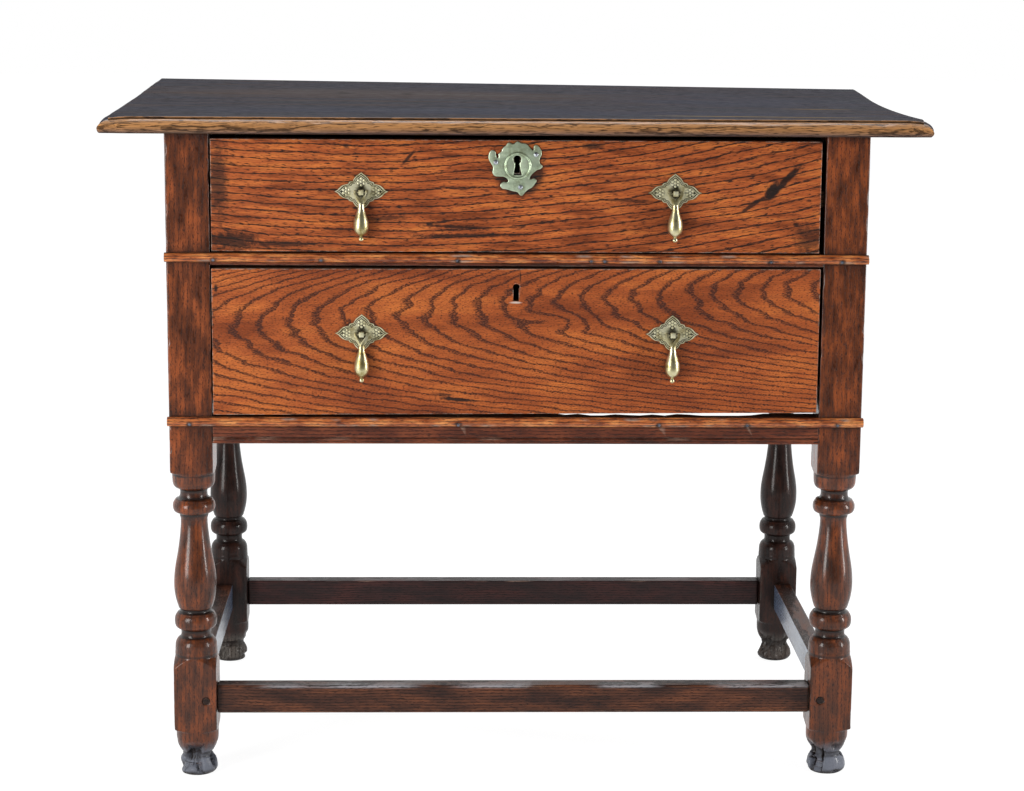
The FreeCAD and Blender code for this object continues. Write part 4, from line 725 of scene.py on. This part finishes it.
# fade: how much painted shade darkens the lower leg; pale: how much the foot takes the worn tone
legFeet = {
    "leg_front_left": {"seed": 11, "depth": 0.0068, "gouge": 0.2, "fade": 0.3, "pale": 0.7},
    "leg_front_right": {"seed": 23, "depth": 0.0062, "gouge": 0.65, "fade": 0.4, "pale": 0.6},
    "leg_back_left": {"seed": 37, "depth": 0.005, "gouge": 0.2, "fade": 0.0, "pale": 1.0},
    "leg_back_right": {"seed": 41, "depth": 0.004, "gouge": 0.3, "fade": 0.0, "pale": 0.5},
}


def turnedOutline(nodeName, axis):
    # radius of the turned parts at every half millimetre of height, read from the solid
    shape = nodes[nodeName].data
    places = np.zeros(len(shape.vertices) * 3)
    shape.vertices.foreach_get("co", places)
    places = places.reshape(-1, 3)
    radius = np.hypot(places[:, 0] - axis[0], places[:, 1] - axis[1])
    rows = {}
    for height, reach in zip(np.round(places[:, 2], 4), radius):
        rows.setdefault(float(height), []).append(reach)
    rows = {height: np.median(found) for height, found in rows.items() if len(found) >= 20}
    heights = sorted(rows)
    fine = np.arange(0, 0.76, 0.0005)
    outline = np.interp(fine, heights, [rows[height] for height in heights])
    blur = np.exp(-0.5 * (np.arange(-14, 15) / 6) ** 2)
    soft = np.convolve(np.pad(outline, 14, mode="edge"), blur / blur.sum(), mode="valid")
    outline = np.where(np.abs(soft - outline) < 0.00022, soft, outline)
    for line in legShape["crisp"]:
        steps, radii = np.array(line).T / 1000
        inside = (fine > steps[0]) & (fine < steps[-1])
        outline[inside] = np.interp(fine[inside], steps, radii)
    return fine, outline


def wornLeg(nodeName, look):
    piece = copyOfNode(nodeName, nodeName + "_worn", flatten=False)
    applyModifier(piece, "REMESH", mode="VOXEL", voxel_size=legShape["voxel"], use_smooth_shade=True)
    applyModifier(piece, "SMOOTH", factor=0.5, iterations=2)
    low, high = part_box(nodeName)
    axis = np.array([(low[0] + high[0]) / 2, (low[1] + high[1]) / 2])
    half, seed = legShape["half"], look["seed"]
    places = pointsOf(piece)[0]
    height = places[:, 2].copy()
    reach = places[:, :2] - axis
    radius = np.hypot(reach[:, 0], reach[:, 1])

    # turned parts follow the outline, square parts are cut to the two curves
    fine, outline = turnedOutline(nodeName, axis)
    turned = np.zeros(len(places), bool)
    for start, end in legShape["turned"]:
        turned |= (height > start) & (height < end)
    turned &= radius > legShape["leastTurned"]
    wanted = np.where(turned, np.interp(height, fine, outline), radius)
    shadow = np.zeros(len(places), bool)
    for curve in (legShape["arch"], legShape["bow"]):
        (start, end), (dark, light) = curve["zone"], curve["shadow"]
        away = np.maximum(curve["way"] * (height - curve["tip"]), 0)
        inZone = (height >= start) & (height <= end) & ~turned
        wanted = np.where(inZone, np.minimum(wanted, np.sqrt(half ** 2 + curve["spread"] * away)), wanted)
        shadow |= (height > dark) & (height < light)
    places[:, :2] = axis + reach * (wanted / np.maximum(radius, 1e-6))[:, None]
    movePoints(piece, places)

    # wear along the corners, and feet eaten away
    places, normals = pointsOf(piece)
    reach = np.abs(places[:, :2] - axis)
    hollow = np.zeros(len(places))
    for taps, least, most, share in legShape["crevices"]:
        wide = np.convolve(np.pad(outline, taps // 2, mode="edge"), np.ones(taps) / taps, mode="valid")
        depth = np.interp(height, fine, wide - outline)
        hollow = np.maximum(hollow, share * smoothStep(depth, least, most) * turned)
    corner = smoothStep(reach.min(axis=1), half - 0.003, half) * smoothStep(reach.max(axis=1), half - 0.002, half)
    bruise = smoothStep(noiseAt(places, 55, seed), 0.1, 0.45)
    ripple = noiseAt(places, 60, seed + 5, (1, 1, 0.35))
    push = legShape["ripple"] * (ripple + 0.5) + corner * bruise * legShape["cornerChip"]
    onFoot = 1 - smoothStep(height, *legShape["footWear"])
    lumps = smoothStep(noiseAt(places, 55, seed + 2, (1.1, 1.1, 0.8)), -0.08, 0.22)
    crack = noiseAt(places, 62, seed + 4, (1.5, 1.5, 0.28))
    cracks = smoothStep(1 - np.abs(crack) * 9, 0.2, 1) * smoothStep(noiseAt(places, 38, seed + 7), -0.15, 0.2)
    push += onFoot * look["depth"] * (lumps + look["gouge"] * cracks)
    clear = legShape["floorClear"]
    push *= np.where(height < clear, smoothStep(height, 0.0005, clear), 1)
    movePoints(piece, places - normals * push[:, None])
    footGrime = onFoot * cracks * (0.2 + 0.6 * look["gouge"])
    # painted shade in the turned crevices, painted shadow lines under the arch and bow, and darkened cracks in the
    # feet
    storeMask(piece, "hollow", 0.92 * hollow + 0.6 * shadow + footGrime)
    # painted shade: the lower part of the leg is mixed towards the dark worn tone
    faded = look["fade"] * (1 - smoothStep(height, *legShape["fadeFrom"]))
    storeMask(piece, "worn", corner * bruise * 0.35 + onFoot * look["pale"] * (0.65 + 0.35 * lumps) + faded)
    return piece


for nodeName, look in legFeet.items():
    dress(wornLeg(nodeName, look), nodeName, legOak if "front" in nodeName else backLegOak)
print("legs worn")


# brass: plates with a filed rim, two engraved borders and punched beads on a darkened ground

pivotHeights = {"upper": 0.6808, "lower": 0.5216}
plateLook = {
    # each border: size against the whole plate, and how far it sinks in metres
    "steps": [(0.93, 0), (0.915, 0.0005), (0.885, 0), (0.87, -0.0005), (0.82, 0), (0.805, 0.0005), (0.775, 0),
              (0.76, -0.0003)],
    "beadRadius": 0.0015, "beadPitch": 0.0036, "pivotX": 0.1745,
    # middle of each cluster of beads from the plate's middle
    "clusters": [(-0.0165, 0.0002), (0.0165, 0.0002), (0.0, 0.0108)],
    # darkening: grime and painted shade in the sunk borders, painted shadow and tarnish under the post, and a dark
    # ground about the beads
    "sunk": (0.0002, 0.00045), "underPost": (0.0042, 0.0085), "aboutBeads": (0.0046, 0.0056)}


def handlePlates(nodeName, pivotHeight):
    piece = copyOfNode(nodeName, nodeName + "_engraved")
    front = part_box(nodeName)[0].y
    pivotX, pitch = plateLook["pivotX"], plateLook["beadPitch"]
    for side in (-1, 1):
        middle = (side * pivotX, front, pivotHeight)
        onlySelect(piece)
        bpy.ops.object.mode_set(mode="EDIT")
        bpy.ops.mesh.select_mode(type="FACE")
        bpy.ops.mesh.select_all(action="DESELECT")
        endEdit()
        for face in piece.data.polygons:
            face.select = (face.normal.y < -0.9 and abs(face.center.y - front) < 0.0002
                           and face.center.x * side > 0)
        bpy.ops.object.mode_set(mode="EDIT")
        size = 1.0
        for nextSize, sink in plateLook["steps"]:
            bpy.ops.mesh.extrude_region()
            bpy.ops.transform.resize(value=(nextSize / size, 1, nextSize / size), center_override=middle)
            bpy.ops.transform.translate(value=(0, sink, 0))
            size = nextSize
        bpy.ops.mesh.inset(thickness=0.0006, depth=0)
        bpy.ops.mesh.poke()
        bpy.ops.mesh.subdivide(number_cuts=3)
        endEdit()
    places = pointsOf(piece)[0]
    across, behind, up = np.abs(places[:, 0]) - pivotX, places[:, 1] - front, places[:, 2] - pivotHeight
    # the sunk borders darken as grime and painted shade, and a painted shadow with tarnish lies under the post
    sunk = smoothStep(behind, *plateLook["sunk"]) * (behind < 0.0007)
    shadow = 1 - smoothStep(np.hypot(across, up * 0.8), *plateLook["underPost"])
    ground = np.zeros(len(places))
    for clusterX, clusterZ in plateLook["clusters"]:
        away = np.hypot(across - clusterX, up - clusterZ)
        ground = np.maximum(ground, 1 - smoothStep(away, *plateLook["aboutBeads"]))
    storeMask(piece, "hollow", 0.85 * sunk + (0.92 * shadow + 0.5 * ground) * (behind < 0.001))
    beads = []
    for side in (-1, 1):
        for clusterX, clusterZ in plateLook["clusters"]:
            for turn in range(7):
                angle = math.radians(60 * turn + 30)
                reach = 0 if turn == 6 else pitch
                bpy.ops.mesh.primitive_uv_sphere_add(
                    segments=10, ring_count=6, radius=plateLook["beadRadius"], scale=(1, 0.32, 1),
                    location=(side * pivotX + clusterX + reach * math.cos(angle), front + 0.0004,
                              pivotHeight + clusterZ + reach * math.sin(angle)))
                beads.append(bpy.context.active_object)
    joinTo(piece, beads)
    smoothShade(piece, 30)
    return piece


# drops: the fork is cut from the solid, the pear is raised ring by ring below it; (below the pivot, radius) in mm
dropLook = {"forkEnd": 12.6, "wide": 1.1,
            "pear": [(12.6, 3.2), (15.0, 3.2), (18.0, 3.5), (21.0, 4.2), (24.0, 5.1), (27.0, 6.05), (30.0, 6.9),
                     (33.0, 7.45), (36.0, 7.65), (39.0, 7.65), (42.0, 7.2), (44.5, 6.1), (46.3, 4.7), (47.6, 3.2),
                     (48.5, 2.0), (49.2, 1.5), (50.3, 2.0), (51.5, 2.5), (52.7, 2.5), (53.6, 1.9), (54.2, 1.0)]}


def pearDrop(nodeName, pivotHeight):
    piece = copyOfNode(nodeName, nodeName + "_polished")
    low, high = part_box(nodeName)
    middle = ((low.x + high.x) / 2, (low.y + high.y) / 2, 0)
    editAll(piece)
    bpy.ops.mesh.bisect(plane_co=(0, 0, pivotHeight - dropLook["forkEnd"] / 1000), plane_no=(0, 0, 1),
                        clear_inner=True, use_fill=True)
    endEdit()
    easeEdges(piece, 0.0005)
    first, radius = dropLook["pear"][0]
    bpy.ops.mesh.primitive_circle_add(vertices=32, radius=radius / 1000, fill_type="NGON",
                                      location=(*middle[:2], pivotHeight - first / 1000))
    pear = bpy.context.active_object
    bpy.ops.object.transform_apply(location=True)
    editAll(pear)
    for below, nextRadius in dropLook["pear"][1:]:
        bpy.ops.mesh.extrude_region()
        bpy.ops.transform.translate(value=(0, 0, (first - below) / 1000))
        bpy.ops.transform.resize(value=(nextRadius / radius, nextRadius / radius, 1), center_override=middle)
        first, radius = below, nextRadius
    bpy.ops.mesh.select_all(action="SELECT")
    bpy.ops.transform.resize(value=(dropLook["wide"], 1, 1), center_override=middle)
    bpy.ops.mesh.normals_make_consistent(inside=False)
    endEdit()
    joinTo(piece, [pear])
    places, normals = pointsOf(piece)
    # painted shade, with tarnish, in the gap between the fork's ears
    inFork = (np.abs(places[:, 0] - middle[0]) < 0.0058) & (pivotHeight - places[:, 2] < 0.0115)
    storeMask(piece, "hollow", np.where(inFork & (np.abs(normals[:, 1]) < 0.6), 0.9, 0.0))
    smoothShade(piece, 40)
    return piece


for level, pivotHeight in pivotHeights.items():
    nodeName = level + "_handle_plates"
    dress(handlePlates(nodeName, pivotHeight), nodeName, agedBrass)
for level, pivotHeight in pivotHeights.items():
    for side in ("left", "right"):
        nodeName = f"{level}_drop_{side}"
        dress(pearDrop(nodeName, pivotHeight), nodeName, rubbedBrass)
print("plates and drops made")


# escutcheon: cast from a carved pattern, its rims rounded, with a turned ring about the keyhole.
# Places are millimetres across and up from the middle of the ring.
escutcheonLook = {
    "middle": (-0.0009, 0.7103), "back": -0.249, "thickness": 0.0018, "rim": 0.00085, "ring": (0.0139, 0.0013),
    "outline": [
        (-0.3, 27.2), (-5.2, 24.2), (-10.6, 25.8), (-13.6, 22.3), (-16.6, 19.9), (-18.5, 15.8), (-21.5, 13.1),
        (-21.8, 8.7), (-23.1, 8.7), (-25.3, 15.8), (-28.6, 17.4), (-32.1, 13.1), (-32.1, 6.5), (-29.6, 2.2),
        (-27.5, -2.2), (-28, -8.2), (-25.3, -11.4), (-19.9, -12), (-15, -12.5), (-11.2, -15.2), (-11.2, -18),
        (-16, -18.2), (-19.3, -21.2), (-17.7, -25), (-12.8, -26.1), (-5.2, -28.3), (-0.3, -29.4), (4.1, -33.4),
        (7.9, -29.9), (11.2, -26.7), (16, -23.9), (19.3, -19.6), (20.9, -16.3), (18.2, -13.9), (13.3, -14.7),
        (13.3, -13.1), (15.5, -9.8), (22, -4.4), (25.3, -3.3), (27.4, -0.5), (24.2, 3.3), (24.2, 7.6), (26.4, 13.1),
        (24.8, 19), (19.3, 23.4), (17.4, 21.2), (17.1, 17.4), (13.3, 20.1), (9, 24.5), (3.5, 25.3)],
    "keyhole": [(-0.7, 11.4), (-3.9, 10.1), (-5.1, 7), (-4.2, 3.9), (-2.9, 2.8), (-3.6, -3), (-4.6, -8.6),
                (-4.8, -10.2), (4.4, -10.2), (4.1, -8.6), (2.7, -3), (1.8, 2.8), (3, 3.9), (3.7, 7), (2.5, 10.1)],
    "straight": (3, 4, 5, 6, 7, 8, 9, 10, 11, 12),
}


def castEscutcheon(look):
    curve = bpy.data.curves.new("escutcheonPattern", "CURVE")
    curve.dimensions = "2D"
    curve.fill_mode = "BOTH"
    curve.resolution_u = 4
    curve.extrude = look["thickness"] / 2 - look["rim"]
    curve.bevel_depth = look["rim"]
    curve.bevel_resolution = 2
    curve.offset = -look["rim"]
    for line in ("outline", "keyhole"):
        spline = curve.splines.new("BEZIER")
        spline.bezier_points.add(len(look[line]) - 1)
        for index, (point, (across, up)) in enumerate(zip(spline.bezier_points, look[line])):
            point.co = (across / 1000, up / 1000, 0)
            kind = "VECTOR" if line == "keyhole" and index in look["straight"] else "AUTO"
            point.handle_left_type = point.handle_right_type = kind
        spline.use_cyclic_u = True
    across, up = look["middle"]
    face = look["back"] - look["thickness"]
    upright = (math.radians(90), 0, 0)
    piece = bpy.data.objects.new("escutcheon_cast", curve)
    bpy.context.scene.collection.objects.link(piece)
    piece.rotation_euler = upright
    piece.location = (across, look["back"] - look["thickness"] / 2, up)
    onlySelect(piece)
    bpy.ops.object.convert(target="MESH")
    bpy.ops.object.transform_apply(location=True, rotation=True, scale=True)
    piece = bpy.context.active_object
    editAll(piece)
    bpy.ops.mesh.remove_doubles(threshold=mergeReach)
    bpy.ops.mesh.normals_make_consistent(inside=False)
    endEdit()
    bpy.ops.mesh.primitive_torus_add(major_radius=look["ring"][0], minor_radius=look["ring"][1], major_segments=48,
                                     minor_segments=12, location=(across, face, up), rotation=upright)
    ring = bpy.context.active_object
    bpy.ops.object.transform_apply(location=True, rotation=True)
    joinTo(piece, [ring])
    places = pointsOf(piece)[0]
    outside = np.hypot(places[:, 0] - across, places[:, 2] - up) > look["ring"][0] + 0.0016
    storeMask(piece, "hollow", np.where((np.abs(places[:, 1] - face) < 0.00005) & outside, 0.1, 0.0))
    smoothShade(piece, 40)
    return piece


dress(castEscutcheon(escutcheonLook), "escutcheon", paleBrass)
print("escutcheon cast")


def easedMetal(nodeName, suffix, width):
    piece = copyOfNode(nodeName, nodeName + suffix)
    easeEdges(piece, width)
    smoothShade(piece, 30)
    return piece


metalPieces = {
    "upper_handle_posts": ("brass", agedBrass, 0.0003), "lower_handle_posts": ("brass", agedBrass, 0.0003),
    "escutcheon_pins": ("pin_steel", pinSteel, 0.0005),
    "moulding_nails": ("nail_iron", nailIron, 0.0003), "runner_nails": ("nail_iron", nailIron, 0.0003),
    "upper_drawer_nails": ("nail_iron", nailIron, 0.0003), "lower_drawer_nails": ("nail_iron", nailIron, 0.0003),
    "upper_lock_case": ("lock_iron", lockIron, 0.0004), "lower_lock_case": ("lock_iron", lockIron, 0.0004),
    "upper_lock_bolt": ("lock_iron", lockIron, 0.0004), "lower_lock_bolt": ("lock_iron", lockIron, 0.0004),
}
for nodeName, (slotName, material, width) in metalPieces.items():
    dress(easedMetal(nodeName, "_finished", width), nodeName, material)
dress(easedMetal("frame_pegs", "_cut", 0.0003), "frame_pegs", pegOak)
topPegs = easedMetal("top_pegs", "_cut", 0.0003)
sinkTop(topPegs)
dress(topPegs, "top_pegs", topPegOak)
print("metalwork and pegs made")


# floor, light and camera

# Polished things see white paper and sky behind and around the table, and the dim end of the studio in front of it.
stageLook = {"floorRadius": 14.0, "glow": 0.9, "shade": 0.3, "bounce": 0.8, "sky": 0.46, "dim": 0.1,
             "paperEnds": (-2.6, -0.9), "skyEnds": (-0.55, 0.35), "skyTint": (0.93, 0.97, 1.0)}


# what the camera sees, and what it sees in polish or through glass
def sightOf(tree):
    ray = addNode(tree, "LightPath").outputs
    seen = addMath(tree, "ADD", ray["Is Camera Ray"], ray["Is Glossy Ray"], clamp=True)
    return ray["Is Camera Ray"], addMath(tree, "ADD", seen, ray["Is Transmission Ray"], clamp=True)


# brightness that rises from the dim end of the studio to its white end
def riseAlong(tree, places, ends, full):
    spot = addNode(tree, "SeparateXYZ", {0: addNode(tree, "TexCoord").outputs[places]})
    return addRange(tree, spot.outputs[1], *ends, stageLook["dim"], full, smooth=True)


def greyPaper(tree, tone):
    return addNode(tree, "BsdfDiffuse", {"Color": (tone, tone, tone, 1)})


bpy.ops.mesh.primitive_circle_add(vertices=96, radius=stageLook["floorRadius"], fill_type="NGON", location=(0, 0, 0))
floor = bpy.context.active_object
floor.name = "floor"
paper = bpy.data.materials.new("whitePaperFloor")
paperTree = newTree(paper)
direct, seen = sightOf(paperTree)
near = riseAlong(paperTree, "Object", stageLook["paperEnds"], stageLook["glow"])
glow = addNode(paperTree, "Emission", {
    "Strength": addNode(paperTree, "Mix", {0: direct, 2: near, 3: stageLook["glow"]})})
bright = addNode(paperTree, "AddShader", {0: greyPaper(paperTree, stageLook["shade"]), 1: glow})
mirrored = addNode(paperTree, "MixShader", {0: direct, 1: glow, 2: bright})
both = addNode(paperTree, "MixShader", {0: seen, 1: greyPaper(paperTree, stageLook["bounce"]), 2: mirrored})
addNode(paperTree, "OutputMaterial", {"Surface": both})
floor.data.materials.append(paper)

world = bpy.data.worlds.new("whiteStudio")
bpy.context.scene.world = world
worldTree = newTree(world)
direct, seen = sightOf(worldTree)
ambient = addNode(worldTree, "Background", {"Color": (*stageLook["skyTint"], 1), "Strength": stageLook["sky"]})
behind = riseAlong(worldTree, "Generated", stageLook["skyEnds"], 1.0)
white = addNode(worldTree, "Background", {
    "Color": (1, 1, 1, 1), "Strength": addNode(worldTree, "Mix", {0: direct, 2: behind, 3: 1.0})})
both = addNode(worldTree, "MixShader", {0: seen, 1: ambient, 2: white})
addNode(worldTree, "OutputWorld", {"Surface": both})

lampLooks = {
    "leftSoftbox": {"at": (-1.9, -2.0, 0.82), "towards": (0, 0, 0.5), "size": (0.75, 1.5), "power": 45,
                    "tint": (1.0, 0.985, 0.96)},
    "rightSoftbox": {"at": (2.35, -1.0, 0.78), "towards": (0, 0, 0.5), "size": (0.3, 1.4), "power": 30,
                     "tint": (1.0, 0.985, 0.96)},
    "overheadFill": {"at": (0.0, 0.6, 2.6), "towards": (0, 0, 0.6), "size": (1.6, 1.0), "power": 16,
                     "tint": (0.85, 0.92, 1.0)},
}
for lampName, look in lampLooks.items():
    light = bpy.data.lights.new(lampName, "AREA")
    light.shape = "RECTANGLE"
    light.size, light.size_y = look["size"]
    light.energy = look["power"]
    light.color = look["tint"]
    lamp = bpy.data.objects.new(lampName, light)
    bpy.context.scene.collection.objects.link(lamp)
    lamp.location = look["at"]
    way = Vector(look["towards"]) - Vector(look["at"])
    lamp.rotation_euler = way.to_track_quat("-Z", "Y").to_euler()

cameraLook = {"at": (-0.0879, -2.9859, 0.966), "yaw": 0.03015, "pitch": 0.18595, "roll": -0.00784, "focus": 2468.4,
              "imageWidth": 1024, "sensor": 36.0}
cameraData = bpy.data.cameras.new("frontCamera")
camera = bpy.data.objects.new("frontCamera", cameraData)
bpy.context.scene.collection.objects.link(camera)
yaw, pitch, roll = cameraLook["yaw"], cameraLook["pitch"], cameraLook["roll"]
forward = Vector((math.sin(yaw) * math.cos(pitch), math.cos(yaw) * math.cos(pitch), -math.sin(pitch)))
right = Vector((math.cos(yaw), -math.sin(yaw), 0))
down = forward.cross(right)
rightRolled = right * math.cos(roll) + down * math.sin(roll)
downRolled = down * math.cos(roll) - right * math.sin(roll)
turn = Matrix((rightRolled, -downRolled, -forward)).transposed()
camera.matrix_world = Matrix.Translation(cameraLook["at"]) @ turn.to_4x4()
cameraData.sensor_width = cameraLook["sensor"]
cameraData.lens = cameraLook["focus"] * cameraLook["sensor"] / cameraLook["imageWidth"]
cameraData.clip_end = 100   # metres, past the far edge of the floor
bpy.context.scene.camera = camera
bpy.context.scene.view_settings.view_transform = "Standard"
print("stage, lamps and camera set")
